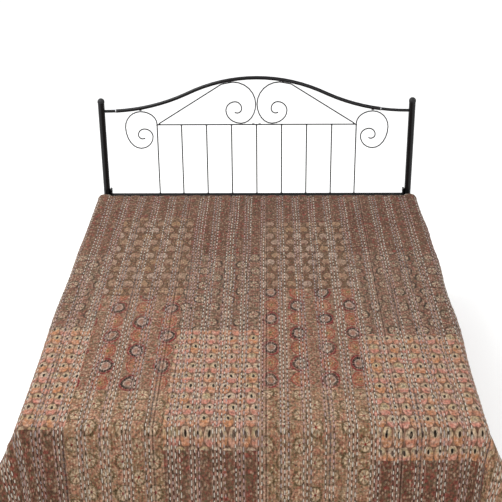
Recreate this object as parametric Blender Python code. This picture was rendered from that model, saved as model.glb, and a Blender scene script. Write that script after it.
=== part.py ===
"""A kantha quilt that hangs over a mattress on a black steel bed with a scrolled headboard.

Metres, +Z up. The floor is z = 0, the head of the bed is at +Y and its foot at -Y.
Left and right are as seen from the foot of the bed.
"""
import math

import bmesh
import bpy
import numpy as np

# Gap kept between pieces that touch
GAP = 0.0003

# Mattress
MATTRESS_WIDTH = 1.52
MATTRESS_LENGTH = 1.98
MATTRESS_THICKNESS = 0.20
MATTRESS_TOP = 0.56
MATTRESS_EDGE_ROUND = 0.035
MATTRESS_CORNER_ROUND = 0.06

# Quilt, measured flat
QUILT_WIDTH = 2.29
QUILT_LENGTH = 2.44
QUILT_THICKNESS = 0.003
BAND_COUNT = 31
BAND_RISE = 0.002

# Quilt as it lies: its top from side to side and from head to foot, outside the bends
COVER_WIDTH = 1.554
COVER_LENGTH = 2.0
BEND_RADIUS = 0.03
HEAD_TURN = 0.03
LEAN = math.radians(2.0)
HEAD_EDGE_Y = 1.084

# Soft folds in the hanging cloth. Place is in metres from the head edge for the two sides, and from
# the middle of the bed for the foot. Swell is how far the bend at the top edge grows.
FOLDS = (
    # edge, place, half_width, depth_at_hem, swell_at_edge
    ("left", 0.22, 0.13, 0.010, 0.000),
    ("left", 0.62, 0.17, 0.016, 0.004),
    ("left", 0.90, 0.10, -0.007, 0.000),
    ("left", 1.18, 0.26, 0.019, 0.008),
    ("left", 1.56, 0.11, -0.006, 0.000),
    ("right", 0.36, 0.14, 0.018, 0.009),
    ("right", 0.70, 0.20, 0.012, 0.013),
    ("right", 0.98, 0.12, -0.007, 0.000),
    ("right", 1.25, 0.22, 0.017, 0.012),
    ("right", 1.60, 0.10, -0.005, 0.000),
    ("foot", -0.44, 0.13, 0.013, 0.001),
    ("foot", -0.20, 0.11, -0.006, 0.000),
    ("foot", 0.06, 0.16, 0.019, 0.003),
    ("foot", 0.31, 0.10, -0.006, 0.000),
    ("foot", 0.50, 0.11, 0.012, 0.001),
)

# Section of the cloth's cone round a foot corner, as a path on a sphere about straight down.
# It comes down one side, rounds the neck, runs out to the nose of the fold and back again.
NECK_TURN = math.radians(66)
NECK_RADIUS = math.radians(11)
FLANK = math.radians(13)
NOSE_RADIUS = math.radians(12.5)
SECTION_STEP = math.radians(0.5)
CORNER_CALM = (0.12, 0.42)

# Lines of the quilt's mesh
COVER_LINES = 18
FOOT_LINES = 9
BEND_LINES = 4
HEAD_LINES = 3
LINE_CLEARANCE = 0.009

# Headboard. Heights are above the quilt's top
POST_X = 0.739
POST_RADIUS = 0.016
POST_BEHIND_EDGE = 0.045
POST_HEIGHT = 0.452
CAP_RADIUS = 0.0172
RAIL_RADIUS = 0.0088
STUB_RADIUS = 0.0074
RAIL_END_HEIGHT = 0.409
RAIL_CROWN = 0.571
RAIL_CROWN_BEND = 0.745
RAIL_LEVEL_FROM = 0.715
RAIL_JOINT_LEFT = -0.670
RAIL_JOINT_RIGHT = 0.590
RAIL_SQUARE_END = 0.004
WIRE_RADIUS = 0.003
LOWER_BAR_HEIGHT = 0.3405
LOWER_BAR_HALF = 0.477
ROD_PITCH = 0.12
ROD_COUNT = 9
CROSS_RAIL_RADIUS = 0.0125
CROSS_RAIL_TOP = -0.014
BRACKET_SIZE = (0.010, 0.028, 0.060)
BRACKET_TOP = 0.013

# Scroll wires: each row is a quarter turn, with its reach across and its reach up or down
CENTRE_SCROLL_QUARTERS = (
    # across, upright
    (0.1067, 0.108),
    (0.070, 0.0955),
    (0.072, 0.064),
    (0.044, 0.043),
    (0.031, 0.033),
    (0.021, 0.023),
)
CENTRE_SCROLL_TOP_X = 0.110
DIAGONAL_FOOT_X = 0.466
DIAGONAL_TOP_X = 0.165
DIAGONAL_TOP_POINTS = 4
SIDE_SCROLL_QUARTERS = (
    # across, upright
    (0.0765, 0.0620),
    (0.0755, 0.0800),
    (0.070, 0.105),
    (0.060, 0.060),
    (0.040, 0.038),
    (0.030, 0.030),
    (0.020, 0.020),
)
SCROLL_END_TURN = math.radians(35)
SLANT_CLEARANCE = 0.0006
STEPS_PER_QUARTER = 6

# Bed base
RAIL_SIZE = (0.030, 0.050)
BEAM_SIZE = (0.040, 0.040)
SLAT_SIZE = (0.070, 0.012)
SLAT_COUNT = 10
SLAT_LENGTH = 1.486
LEG_INSET = 0.060
CENTRE_LEG_RADIUS = 0.0125
FOOT_CAP_HEIGHT = 0.020
FOOT_CAP_FLARE = 0.003

# Sizes worked out from the ones above
COVER_TOP = MATTRESS_TOP + GAP + QUILT_THICKNESS
COVER_MIDDLE = MATTRESS_TOP + GAP + QUILT_THICKNESS / 2
SIDE_BEND_START = COVER_WIDTH / 2 - BEND_RADIUS
FOOT_BEND_START_V = HEAD_TURN + COVER_LENGTH - 2 * BEND_RADIUS
HEADBOARD_Y = HEAD_EDGE_Y + POST_BEHIND_EDGE
MATTRESS_HEAD_Y = HEAD_EDGE_Y - 0.006
SLAT_TOP = MATTRESS_TOP - MATTRESS_THICKNESS - GAP
RAIL_TOP = SLAT_TOP - SLAT_SIZE[1] - GAP
FOOT_LEG_Y = HEAD_EDGE_Y - COVER_LENGTH + LEG_INSET


def clear_scene():
    """Take away whatever the scene holds."""
    for thing in list(bpy.data.objects):
        bpy.data.objects.remove(thing, do_unlink=True)


def make_material(name, colour, roughness, metallic=0.0):
    """A Principled material of one colour."""
    material = bpy.data.materials.new(name)
    material.use_nodes = True
    shader = material.node_tree.nodes["Principled BSDF"]
    shader.inputs["Base Color"].default_value = (*colour, 1.0)
    shader.inputs["Roughness"].default_value = roughness
    shader.inputs["Metallic"].default_value = metallic
    material.diffuse_color = (*colour, 1.0)
    return material


def add_object(name, data, material):
    """Put mesh or curve data into the scene under its node's name."""
    thing = bpy.data.objects.new(name, data)
    data.materials.append(material)
    bpy.context.scene.collection.objects.link(thing)
    return thing


def finish_mesh(name, shape, material, smooth_angle=math.radians(40)):
    """Turn a bmesh into a named object with smooth round faces."""
    mesh = bpy.data.meshes.new(name)
    shape.to_mesh(mesh)
    shape.free()
    mesh.shade_smooth()
    mesh.set_sharp_from_angle(angle=smooth_angle)
    return add_object(name, mesh, material)


def add_box(name, size, centre, material, edge=0.0):
    """A box, its edges taken off by a small flat where edge is given."""
    shape = bmesh.new()
    bmesh.ops.create_cube(shape, size=1.0)
    bmesh.ops.scale(shape, vec=size, verts=shape.verts)
    if edge:
        bmesh.ops.bevel(shape, geom=shape.edges[:], offset=edge, segments=1, affect="EDGES")
    box = finish_mesh(name, shape, material)
    box.location = centre
    return box


def add_turned(name, profile, sides, place, material, tilt=(0.0, 0.0, 0.0)):
    """A solid turned round Z from rows of radius and height that start and end on the axis."""
    shape = bmesh.new()
    points = [shape.verts.new((radius, 0.0, height)) for radius, height in profile]
    lines = [shape.edges.new(pair) for pair in zip(points, points[1:])]
    bmesh.ops.spin(shape, geom=points + lines, axis=(0, 0, 1), cent=(0, 0, 0),
                   steps=sides, angle=2 * math.pi, use_merge=True)
    bmesh.ops.remove_doubles(shape, verts=shape.verts, dist=1e-6)
    bmesh.ops.recalc_face_normals(shape, faces=shape.faces)
    solid = finish_mesh(name, shape, material)
    solid.location = place
    solid.rotation_euler = tilt
    return solid


def add_tube(name, points, radius, material, fineness=2):
    """A round bar along a list of points, closed at both ends."""
    curve = bpy.data.curves.new(name, "CURVE")
    curve.dimensions = "3D"
    curve.bevel_depth = radius
    curve.bevel_resolution = fineness
    curve.use_fill_caps = True
    line = curve.splines.new("POLY")
    line.points.add(len(points) - 1)
    for point, place in zip(line.points, points):
        point.co = (*place, 1.0)
    return add_object(name, curve, material)


def smooth_step(value, low, high):
    """0 below low, 1 above high and a smooth rise between them."""
    share = np.clip((value - low) / (high - low), 0.0, 1.0)
    return share * share * (3 - 2 * share)


def corner_section():
    """Unit directions round a foot corner, and the angle in the flat cloth that each one belongs to.

    The path is drawn on a plane whose axes are degrees outwards across the bed and outwards past its
    foot: a straight, a turn at the neck, a flank, the nose and the same back. It is then bent over
    the sphere about straight down. Along the straights an angle in the flat cloth is the same angle
    on the sphere, and the fold between them takes up the rest.
    """
    nose_turn = math.pi / 2 + 2 * NECK_TURN
    slope = math.pi / 2 - NECK_TURN
    straight = (math.pi / 2 + NECK_RADIUS * (1 - math.cos(NECK_TURN) - math.sin(NECK_TURN))
                + FLANK * (math.cos(slope) - math.sin(slope))
                - NOSE_RADIUS * (math.sin(slope) + math.cos(slope)))
    legs = (
        # length, turn to the left
        (straight, 0.0),
        (NECK_RADIUS * NECK_TURN, -NECK_TURN),
        (FLANK, 0.0),
        (NOSE_RADIUS * nose_turn, nose_turn),
        (FLANK, 0.0),
        (NECK_RADIUS * NECK_TURN, -NECK_TURN),
        (straight, 0.0),
    )
    headings = []
    heading = math.pi / 2
    for length, turn in legs:
        count = max(2, round(length / SECTION_STEP))
        middles = (np.arange(count) + 0.5) / count
        headings.append(np.stack([heading + turn * middles, np.full(count, length / count)], axis=1))
        heading += turn
    headings = np.concatenate(headings)
    steps = headings[:, 1:] * np.stack([np.cos(headings[:, 0]), np.sin(headings[:, 0])], axis=1)
    path = np.vstack([[0.0, 0.0], np.cumsum(steps, axis=0)]) + [0.0, -math.pi / 2]
    slant = np.linalg.norm(path, axis=1)
    outward = path / np.maximum(slant, 1e-9)[:, None]
    directions = np.column_stack([outward * np.sin(slant)[:, None], -np.cos(slant)])
    lengths = np.concatenate([[0.0], np.cumsum(np.linalg.norm(np.diff(directions, axis=0), axis=1))])
    whole = 1.5 * math.pi
    angles = np.interp(lengths, [0.0, straight, lengths[-1] - straight, lengths[-1]],
                       [0.0, straight, whole - straight, whole])
    return directions, angles - math.pi / 2


def fold_sum(edge, place, column):
    """Sum of the bell-shaped folds of one edge at the given places, from one column of FOLDS."""
    total = np.zeros_like(place)
    for row in FOLDS:
        if row[0] == edge:
            total += row[column] * np.exp(-((place - row[1]) / row[2]) ** 2)
    return total


def drape(u, v):
    """Place of the middle of the cloth for flat points: u across from the middle, v from the head hem.

    Inside the bed's edges the cloth lies flat. Past an edge it turns on a round bend and hangs, and
    round a foot corner its hanging directions follow corner_section, so a soft fold stands out there.
    """
    directions, angles = corner_section()
    side = np.where(u < 0, -1.0, 1.0)
    across = np.abs(u) - SIDE_BEND_START
    along = v - FOOT_BEND_START_V
    over_side = np.maximum(across, 0.0)
    over_foot = np.maximum(along, 0.0)
    over = np.hypot(over_side, over_foot)
    safe_over = np.maximum(over, 1e-9)

    # The cloth turned over a sharp edge: a cone about the corner
    reach = np.hypot(across, along)
    angle = np.arctan2(along, across)
    cone = np.stack([np.interp(angle, angles, directions[:, axis]) for axis in range(3)], axis=-1)
    cone /= np.linalg.norm(cone, axis=-1, keepdims=True)
    edge_point = np.stack([np.minimum(across, 0.0), np.minimum(along, 0.0), np.zeros_like(u)], axis=-1)
    hang = reach[..., None] * cone - edge_point
    hang /= np.maximum(np.linalg.norm(hang, axis=-1, keepdims=True), 1e-9)

    # The round bend from level to hanging, then the hanging stretch
    level = np.stack([over_side / safe_over, over_foot / safe_over, np.zeros_like(u)], axis=-1)
    cosine = np.sum(level * hang, axis=-1, keepdims=True)
    turn = np.arccos(np.clip(cosine, -1.0, 1.0))
    inward = (hang - level * cosine) / np.maximum(np.sin(turn), 1e-9)
    from_head = v - HEAD_TURN + BEND_RADIUS
    edges = {"left": (u < 0) & (across > 0), "right": (u >= 0) & (across > 0), "foot": along > 0}
    calm = smooth_step(np.where(across > 0, -along, -across), *CORNER_CALM)
    swell = np.zeros_like(u)
    depth = np.zeros_like(u)
    for edge, here in edges.items():
        place = u if edge == "foot" else from_head
        swell += np.where(here, fold_sum(edge, place, 4), 0.0) * calm
        depth += np.where(here, fold_sum(edge, place, 3), 0.0) * calm
    radius = (BEND_RADIUS + swell)[..., None]
    distance = over[..., None]
    bend = np.minimum(distance / radius, turn)
    place = (edge_point + level * radius * np.sin(bend) + inward * radius * (1 - np.cos(bend))
             + hang * np.maximum(distance - turn * radius, 0.0))

    # Folds and a slight lean grow towards the hem
    below = np.maximum(over - BEND_RADIUS, 0.0)
    drop = (QUILT_WIDTH / 2 - SIDE_BEND_START)
    outwards = (depth * (below / drop) ** 1.3 + below * math.tan(LEAN) * calm)[..., None]
    place = place + outwards * np.stack(
        [(across > 0) * (along <= 0) * 1.0, (along > 0) * (across <= 0) * 1.0, np.zeros_like(u)], axis=-1)

    # From the corner's own axes to the bed's, then the dip of the hem over the head edge
    x = side * (place[..., 0] + SIDE_BEND_START)
    y = HEAD_EDGE_Y - COVER_LENGTH + BEND_RADIUS - place[..., 1]
    z = COVER_MIDDLE + place[..., 2]
    to_head = np.maximum(HEAD_TURN - v, 0.0) / BEND_RADIUS
    lying = 1 - smooth_step(across, -0.06, 0.0)
    y = y - lying * BEND_RADIUS * (to_head - np.sin(to_head))
    z = z - lying * BEND_RADIUS * (1 - np.cos(to_head))
    return np.stack([x, y, z], axis=-1)


def quilt_lines():
    """Flat places of the mesh's lines across the cloth and along it."""
    half = QUILT_WIDTH / 2
    bands = np.linspace(-half, half, 2 * BAND_COUNT + 1)
    arc = BEND_RADIUS * math.pi / 2
    bends = SIDE_BEND_START + arc * np.arange(BEND_LINES + 1) / BEND_LINES
    bends = np.concatenate([-bends[::-1], bends])
    apart = np.min(np.abs(bands[:, None] - bends[None, :]), axis=1)
    across = np.sort(np.concatenate([bands[apart > LINE_CLEARANCE], bends]))
    along = np.concatenate([
        np.linspace(0.0, HEAD_TURN, HEAD_LINES + 1),
        np.linspace(HEAD_TURN, FOOT_BEND_START_V, COVER_LINES + 1)[1:],
        FOOT_BEND_START_V + arc * np.arange(1, BEND_LINES + 1) / BEND_LINES,
        np.linspace(FOOT_BEND_START_V + arc, QUILT_LENGTH, FOOT_LINES + 1)[1:],
    ])
    return across, along


def band_height(u):
    """Rise of the cloth between two groups of stitching: nothing at a group, full halfway."""
    share = (u / QUILT_WIDTH + 0.5) * BAND_COUNT
    return BAND_RISE * (1 - np.abs(2 * (share - np.floor(share)) - 1))


def grid_normals(points):
    """Unit normals of a grid of points, from the differences along its two directions."""
    normal = np.cross(np.gradient(points, axis=0), np.gradient(points, axis=1))
    return normal / np.linalg.norm(normal, axis=-1, keepdims=True)


def make_quilt(material):
    """The quilt: one sheet whose face rises in bands between its rows of stitching."""
    across, along = quilt_lines()
    u, v = np.meshgrid(across, along, indexing="ij")
    middle = drape(u, v)
    normal = -grid_normals(middle)
    top = middle + normal * (QUILT_THICKNESS / 2 + band_height(u))[..., None]
    under = middle - normal * QUILT_THICKNESS / 2
    rows, columns = u.shape
    index = np.arange(rows * columns).reshape(rows, columns)
    below = index + rows * columns

    def quads(near, far):
        """Faces between two rows of point numbers."""
        return np.stack([near[:-1], near[1:], far[1:], far[:-1]], axis=-1).reshape(-1, 4)

    faces = np.concatenate([
        np.stack([index[:-1, :-1], index[:-1, 1:], index[1:, 1:], index[1:, :-1]], -1).reshape(-1, 4),
        np.stack([below[:-1, :-1], below[1:, :-1], below[1:, 1:], below[:-1, 1:]], -1).reshape(-1, 4),
        quads(index[0][::-1], below[0][::-1]),
        quads(index[-1], below[-1]),
        quads(index[:, 0], below[:, 0]),
        quads(index[:, -1][::-1], below[:, -1][::-1]),
    ])
    mesh = bpy.data.meshes.new("quilt")
    points = np.concatenate([top.reshape(-1, 3), under.reshape(-1, 3)])
    mesh.from_pydata(points.tolist(), [], faces.tolist())
    mesh.shade_smooth()
    return add_object("quilt", mesh, material)


def make_mattress(material):
    """The mattress: a block with round corners in plan and round top and bottom edges."""
    shape = bmesh.new()
    bmesh.ops.create_cube(shape, size=1.0)
    size = (MATTRESS_WIDTH, MATTRESS_LENGTH, MATTRESS_THICKNESS)
    bmesh.ops.scale(shape, vec=size, verts=shape.verts)
    upright = [edge for edge in shape.edges
               if abs(edge.verts[0].co.z - edge.verts[1].co.z) > MATTRESS_THICKNESS / 2]
    bmesh.ops.bevel(shape, geom=upright, offset=MATTRESS_CORNER_ROUND, segments=5, affect="EDGES",
                    profile=0.5)
    rims = [edge for edge in shape.edges if abs(edge.verts[0].co.z - edge.verts[1].co.z) < 1e-6]
    bmesh.ops.bevel(shape, geom=rims, offset=MATTRESS_EDGE_ROUND, segments=4, affect="EDGES",
                    profile=0.5)
    mattress = finish_mesh("mattress", shape, material)
    mattress.location = (0.0, MATTRESS_HEAD_Y - MATTRESS_LENGTH / 2,
                         MATTRESS_TOP - MATTRESS_THICKNESS / 2)
    return mattress


def rail_height(x):
    """Height of the top rail's axis above the quilt: a round crown that meets a hollow bend each side."""
    rise = RAIL_CROWN - RAIL_END_HEIGHT
    slope = 2 * math.atan(rise / RAIL_LEVEL_FROM)
    hollow = RAIL_LEVEL_FROM / math.sin(slope) - RAIL_CROWN_BEND
    place = abs(x)
    if place < RAIL_CROWN_BEND * math.sin(slope):
        return RAIL_CROWN - RAIL_CROWN_BEND + math.sqrt(RAIL_CROWN_BEND ** 2 - place ** 2)
    if place < RAIL_LEVEL_FROM:
        return RAIL_END_HEIGHT + hollow - math.sqrt(hollow ** 2 - (RAIL_LEVEL_FROM - place) ** 2)
    return RAIL_END_HEIGHT


def rail_points(start, end, count):
    """Points along the top rail's axis between two places across the bed.

    Two more points close to the ends keep the cut faces of a joint parallel.
    """
    places = np.linspace(start, end, count + 1)
    places = np.insert(places, [1, count], [start + RAIL_SQUARE_END, end - RAIL_SQUARE_END])
    return [(x, HEADBOARD_Y, COVER_TOP + rail_height(x)) for x in places]


def dome_profile(radius, straight, steps=5):
    """Rows of radius and height for a cap with straight sides and a half-round top."""
    rows = [(0.0, 0.0), (radius, 0.0)]
    for step in range(steps + 1):
        angle = step * math.pi / 2 / steps
        rows.append((radius * math.cos(angle), straight + radius * math.sin(angle)))
    rows[-1] = (0.0, straight + radius)
    return rows


def bar_profile(radius, length):
    """Rows of radius and height for a plain round bar."""
    return [(0.0, 0.0), (radius, 0.0), (radius, length), (0.0, length)]


def make_posts(steel, plastic):
    """Posts from their foot caps to their dome caps, with the brackets at the mattress's height."""
    top = COVER_TOP + POST_HEIGHT
    for name, side in (("left", -1), ("right", 1)):
        x = side * POST_X
        length = top - FOOT_CAP_HEIGHT - 2 * GAP
        add_turned(f"post_{name}", bar_profile(POST_RADIUS, length), 20,
                   (x, HEADBOARD_Y, FOOT_CAP_HEIGHT + GAP), steel)
        add_turned(f"post_cap_{name}", dome_profile(CAP_RADIUS, 0.004), 20, (x, HEADBOARD_Y, top), plastic)
        bracket_x = side * (POST_X - POST_RADIUS - GAP - BRACKET_SIZE[0] / 2)
        bracket_z = COVER_TOP + BRACKET_TOP - BRACKET_SIZE[2] / 2
        add_box(f"bracket_{name}", BRACKET_SIZE, (bracket_x, HEADBOARD_Y, bracket_z), steel, edge=0.003)


def make_rails(steel):
    """The curved top rail and its stubs, the cross rail, the lower bar and the rods."""
    add_tube("top_rail", rail_points(RAIL_JOINT_LEFT, RAIL_JOINT_RIGHT, 30), RAIL_RADIUS, steel, 4)
    reach = POST_X - POST_RADIUS - GAP
    add_tube("rail_stub_left", rail_points(-reach, RAIL_JOINT_LEFT - GAP, 2), STUB_RADIUS, steel, 4)
    add_tube("rail_stub_right", rail_points(RAIL_JOINT_RIGHT + GAP, reach, 3), STUB_RADIUS, steel, 4)

    cross_z = COVER_TOP + CROSS_RAIL_TOP - CROSS_RAIL_RADIUS
    half = reach - BRACKET_SIZE[0] - GAP
    add_tube("cross_rail", [(-half, HEADBOARD_Y, cross_z), (half, HEADBOARD_Y, cross_z)],
             CROSS_RAIL_RADIUS, steel, 6)

    bar_z = COVER_TOP + LOWER_BAR_HEIGHT
    bar_half = LOWER_BAR_HALF + WIRE_RADIUS
    add_tube("lower_bar", [(-bar_half, HEADBOARD_Y, bar_z), (bar_half, HEADBOARD_Y, bar_z)],
             WIRE_RADIUS, steel)

    foot = COVER_TOP + CROSS_RAIL_TOP + GAP
    head = bar_z - WIRE_RADIUS - GAP
    for number in range(ROD_COUNT):
        x = (number - (ROD_COUNT - 1) / 2) * ROD_PITCH
        x = max(-LOWER_BAR_HALF, min(LOWER_BAR_HALF, x))
        add_tube(f"rod_{number + 1}", [(x, HEADBOARD_Y, foot), (x, HEADBOARD_Y, head)], WIRE_RADIUS, steel)


def quarter_turns(start, heading, quarters):
    """Points of a wire that turns to the right by quarters of an ellipse, and then a little more.

    Heading is the number of quarters turned from upwards. Each quarter leaves level or upright and
    ends at a right angle to that, so the wire has no kink.
    """
    ways = ((0, 1), (1, 0), (0, -1), (-1, 0))
    points = [start]
    for row, (across, upright) in enumerate(quarters):
        ahead = ways[heading % 4]
        aside = ways[(heading + 1) % 4]
        reach_ahead, reach_aside = (upright, across) if ahead[0] == 0 else (across, upright)
        last = row == len(quarters) - 1
        x, z = points[-1]
        whole = math.pi / 2 + (SCROLL_END_TURN if last else 0.0)
        count = STEPS_PER_QUARTER + (2 if last else 0)
        for step in range(1, count + 1):
            angle = whole * step / count
            forward = reach_ahead * math.sin(angle)
            sideways = reach_aside * (1 - math.cos(angle))
            points.append((x + ahead[0] * forward + aside[0] * sideways,
                           z + ahead[1] * forward + aside[1] * sideways))
        heading += 1
    return points


def under_rail(x):
    """Height of a wire's axis that touches the crown of the top rail from below."""
    slope = math.asin(abs(x) / RAIL_CROWN_BEND)
    return rail_height(x) - (RAIL_RADIUS + WIRE_RADIUS + 2 * GAP) / math.cos(slope)


def centre_scroll():
    """The right-turning wire of a centre scroll: long diagonal, along the rail, then its curl.

    Its lowest turn sits on the lower bar, which sets how far its first quarter comes down.
    """
    on_bar = LOWER_BAR_HEIGHT + 2 * WIRE_RADIUS + GAP
    along_rail = [(-x, under_rail(x))
                  for x in np.linspace(DIAGONAL_TOP_X, CENTRE_SCROLL_TOP_X, DIAGONAL_TOP_POINTS)]
    top = along_rail.pop()
    first_across = CENTRE_SCROLL_QUARTERS[0][0]
    first_upright = top[1] - on_bar - CENTRE_SCROLL_QUARTERS[1][1]
    quarters = ((first_across, first_upright), *CENTRE_SCROLL_QUARTERS[1:])
    return [(-DIAGONAL_FOOT_X, on_bar), *along_rail, *quarter_turns(top, 1, quarters)]


def side_scroll():
    """The right-turning wire of a side scroll, from its foot on the lower bar's end."""
    foot = (LOWER_BAR_HALF, LOWER_BAR_HEIGHT + WIRE_RADIUS + GAP + SLANT_CLEARANCE)
    return quarter_turns(foot, 0, SIDE_SCROLL_QUARTERS)


def make_scrolls(steel):
    """Both pairs of scrolls, each wire mirrored about the middle of the bed."""
    centre = centre_scroll()
    side = side_scroll()
    wires = (
        ("scroll_left", 1, centre),
        ("scroll_right", -1, centre),
        ("side_scroll_left", -1, side),
        ("side_scroll_right", 1, side),
    )
    for name, way, points in wires:
        places = [(way * x, HEADBOARD_Y, COVER_TOP + z) for x, z in points]
        add_tube(name, places, WIRE_RADIUS, steel, 1)


def make_base(steel, plastic, wood):
    """Head rail, side rails, foot rail, legs, centre beam and slats under the mattress."""
    rail_z = RAIL_TOP - RAIL_SIZE[1] / 2
    inner = POST_X - POST_RADIUS - GAP
    cross = (2 * inner, RAIL_SIZE[0], RAIL_SIZE[1])
    add_box("head_rail", cross, (0.0, HEADBOARD_Y, rail_z), steel, edge=0.002)
    add_box("foot_rail", cross, (0.0, FOOT_LEG_Y, rail_z), steel, edge=0.002)

    rail_head = HEADBOARD_Y - POST_RADIUS - GAP
    rail_foot = FOOT_LEG_Y + POST_RADIUS + GAP
    middle_y = (rail_head + rail_foot) / 2
    caps = []
    for name, side in (("left", -1), ("right", 1)):
        x = side * POST_X
        size = (RAIL_SIZE[0], rail_head - rail_foot, RAIL_SIZE[1])
        add_box(f"side_rail_{name}", size, (x, middle_y, rail_z), steel, edge=0.002)
        add_turned(f"foot_leg_{name}", bar_profile(POST_RADIUS, RAIL_TOP - FOOT_CAP_HEIGHT - GAP), 20,
                   (x, FOOT_LEG_Y, FOOT_CAP_HEIGHT + GAP), steel)
        caps.append((f"foot_cap_head_{name}", x, HEADBOARD_Y, POST_RADIUS))
        caps.append((f"foot_cap_foot_{name}", x, FOOT_LEG_Y, POST_RADIUS))

    beam_head = HEADBOARD_Y - RAIL_SIZE[0] / 2 - GAP
    beam_foot = FOOT_LEG_Y + RAIL_SIZE[0] / 2 + GAP
    beam_z = RAIL_TOP - BEAM_SIZE[1] / 2
    add_box("centre_beam", (BEAM_SIZE[0], beam_head - beam_foot, BEAM_SIZE[1]),
            (0.0, (beam_head + beam_foot) / 2, beam_z), steel, edge=0.002)
    leg_top = RAIL_TOP - BEAM_SIZE[1] - GAP
    add_turned("centre_leg", bar_profile(CENTRE_LEG_RADIUS, leg_top - FOOT_CAP_HEIGHT - GAP), 16,
               (0.0, middle_y, FOOT_CAP_HEIGHT + GAP), steel)
    caps.append(("foot_cap_centre", 0.0, middle_y, CENTRE_LEG_RADIUS))

    for name, x, y, radius in caps:
        wide = radius + FOOT_CAP_FLARE
        profile = [(0.0, 0.0), (wide, 0.0), (wide, FOOT_CAP_HEIGHT * 0.7),
                   (radius, FOOT_CAP_HEIGHT), (0.0, FOOT_CAP_HEIGHT)]
        add_turned(name, profile, 20, (x, y, 0.0), plastic)

    mattress_foot = MATTRESS_HEAD_Y - MATTRESS_LENGTH
    first = MATTRESS_HEAD_Y - SLAT_SIZE[0]
    last = mattress_foot + SLAT_SIZE[0]
    for number in range(SLAT_COUNT):
        y = first + (last - first) * number / (SLAT_COUNT - 1)
        add_box(f"slat_{number + 1:02d}", (SLAT_LENGTH, *SLAT_SIZE), (0.0, y, SLAT_TOP - SLAT_SIZE[1] / 2),
                wood, edge=0.002)


def build():
    """Model the bed from the floor up, then lay the quilt over it."""
    clear_scene()
    cotton = make_material("quilt_cotton", (0.36, 0.22, 0.15), 0.9)
    ticking = make_material("mattress_ticking", (0.80, 0.77, 0.70), 0.9)
    steel = make_material("black_steel", (0.015, 0.015, 0.016), 0.35, 0.0)
    plastic = make_material("black_plastic", (0.02, 0.02, 0.02), 0.5)
    wood = make_material("slat_wood", (0.62, 0.45, 0.27), 0.6)
    make_base(steel, plastic, wood)
    make_posts(steel, plastic)
    make_rails(steel)
    make_scrolls(steel)
    make_mattress(ticking)
    make_quilt(cotton)


build()
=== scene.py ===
# %% [markdown]
# # A kantha quilt on a black steel bed
# The imported solids give every size and place. This lesson dresses them: printed and quilted cotton on
# the bed cover, a ticking cover with piping on the mattress, powder coat on the steel, and grain on
# the slats. The frame is loaded first.

import math

import bpy
import numpy as np
from mathutils import Matrix, Vector


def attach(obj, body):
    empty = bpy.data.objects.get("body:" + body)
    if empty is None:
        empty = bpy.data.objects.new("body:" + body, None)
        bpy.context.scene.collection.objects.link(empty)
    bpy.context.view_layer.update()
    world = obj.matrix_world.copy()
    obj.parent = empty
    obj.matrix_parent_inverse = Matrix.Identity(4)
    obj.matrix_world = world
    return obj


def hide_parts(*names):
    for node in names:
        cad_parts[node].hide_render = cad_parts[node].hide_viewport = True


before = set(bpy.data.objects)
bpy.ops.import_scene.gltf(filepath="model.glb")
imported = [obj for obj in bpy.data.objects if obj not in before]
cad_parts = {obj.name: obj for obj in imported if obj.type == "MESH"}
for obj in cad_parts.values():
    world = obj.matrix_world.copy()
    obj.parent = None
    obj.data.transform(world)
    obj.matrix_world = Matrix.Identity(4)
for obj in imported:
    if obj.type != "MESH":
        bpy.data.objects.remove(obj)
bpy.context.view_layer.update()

# %% [markdown]
# ## Camera
# The photograph looks down the bed from just past its foot. The edges of the bed meet at two
# vanishing points, which give the camera's height, its tilt and its long lens. The camera is turned
# in three steps: about the world's Z, then down, then a slight roll about its own line of sight.

# %% Camera
CAMERA_PLACE = (0.0618, -3.861, 2.6073)
CAMERA_DOWN = math.radians(25.445)
CAMERA_LEFT = math.radians(1.078)
CAMERA_ROLL = math.radians(-0.540)
SENSOR_WIDTH = 36.0
FOCAL_PIXELS = 1093.7
IMAGE_WIDTH = 502


def make_camera():
    """A camera whose lens in millimetres is its focal length in pixels times sensor over image width."""
    lens = bpy.data.cameras.new("camera")
    lens.sensor_width = SENSOR_WIDTH
    lens.lens = FOCAL_PIXELS * SENSOR_WIDTH / IMAGE_WIDTH
    lens.clip_end = 60.0
    camera = bpy.data.objects.new("camera", lens)
    turn = (Matrix.Rotation(CAMERA_LEFT, 4, "Z") @ Matrix.Rotation(math.pi / 2 - CAMERA_DOWN, 4, "X")
            @ Matrix.Rotation(CAMERA_ROLL, 4, "Z"))
    camera.matrix_world = Matrix.Translation(CAMERA_PLACE) @ turn
    bpy.context.scene.collection.objects.link(camera)
    bpy.context.scene.camera = camera
    return camera


camera = make_camera()
print("lens", round(camera.data.lens, 2), "mm")

# %% [markdown]
# ## Node trees in a few words
# Every finish here is a node tree. A small class with one method for each kind of node keeps the
# recipes readable: a value that is a number goes into a socket, and a value that is a socket is linked.

# %% Recipe class


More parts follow.
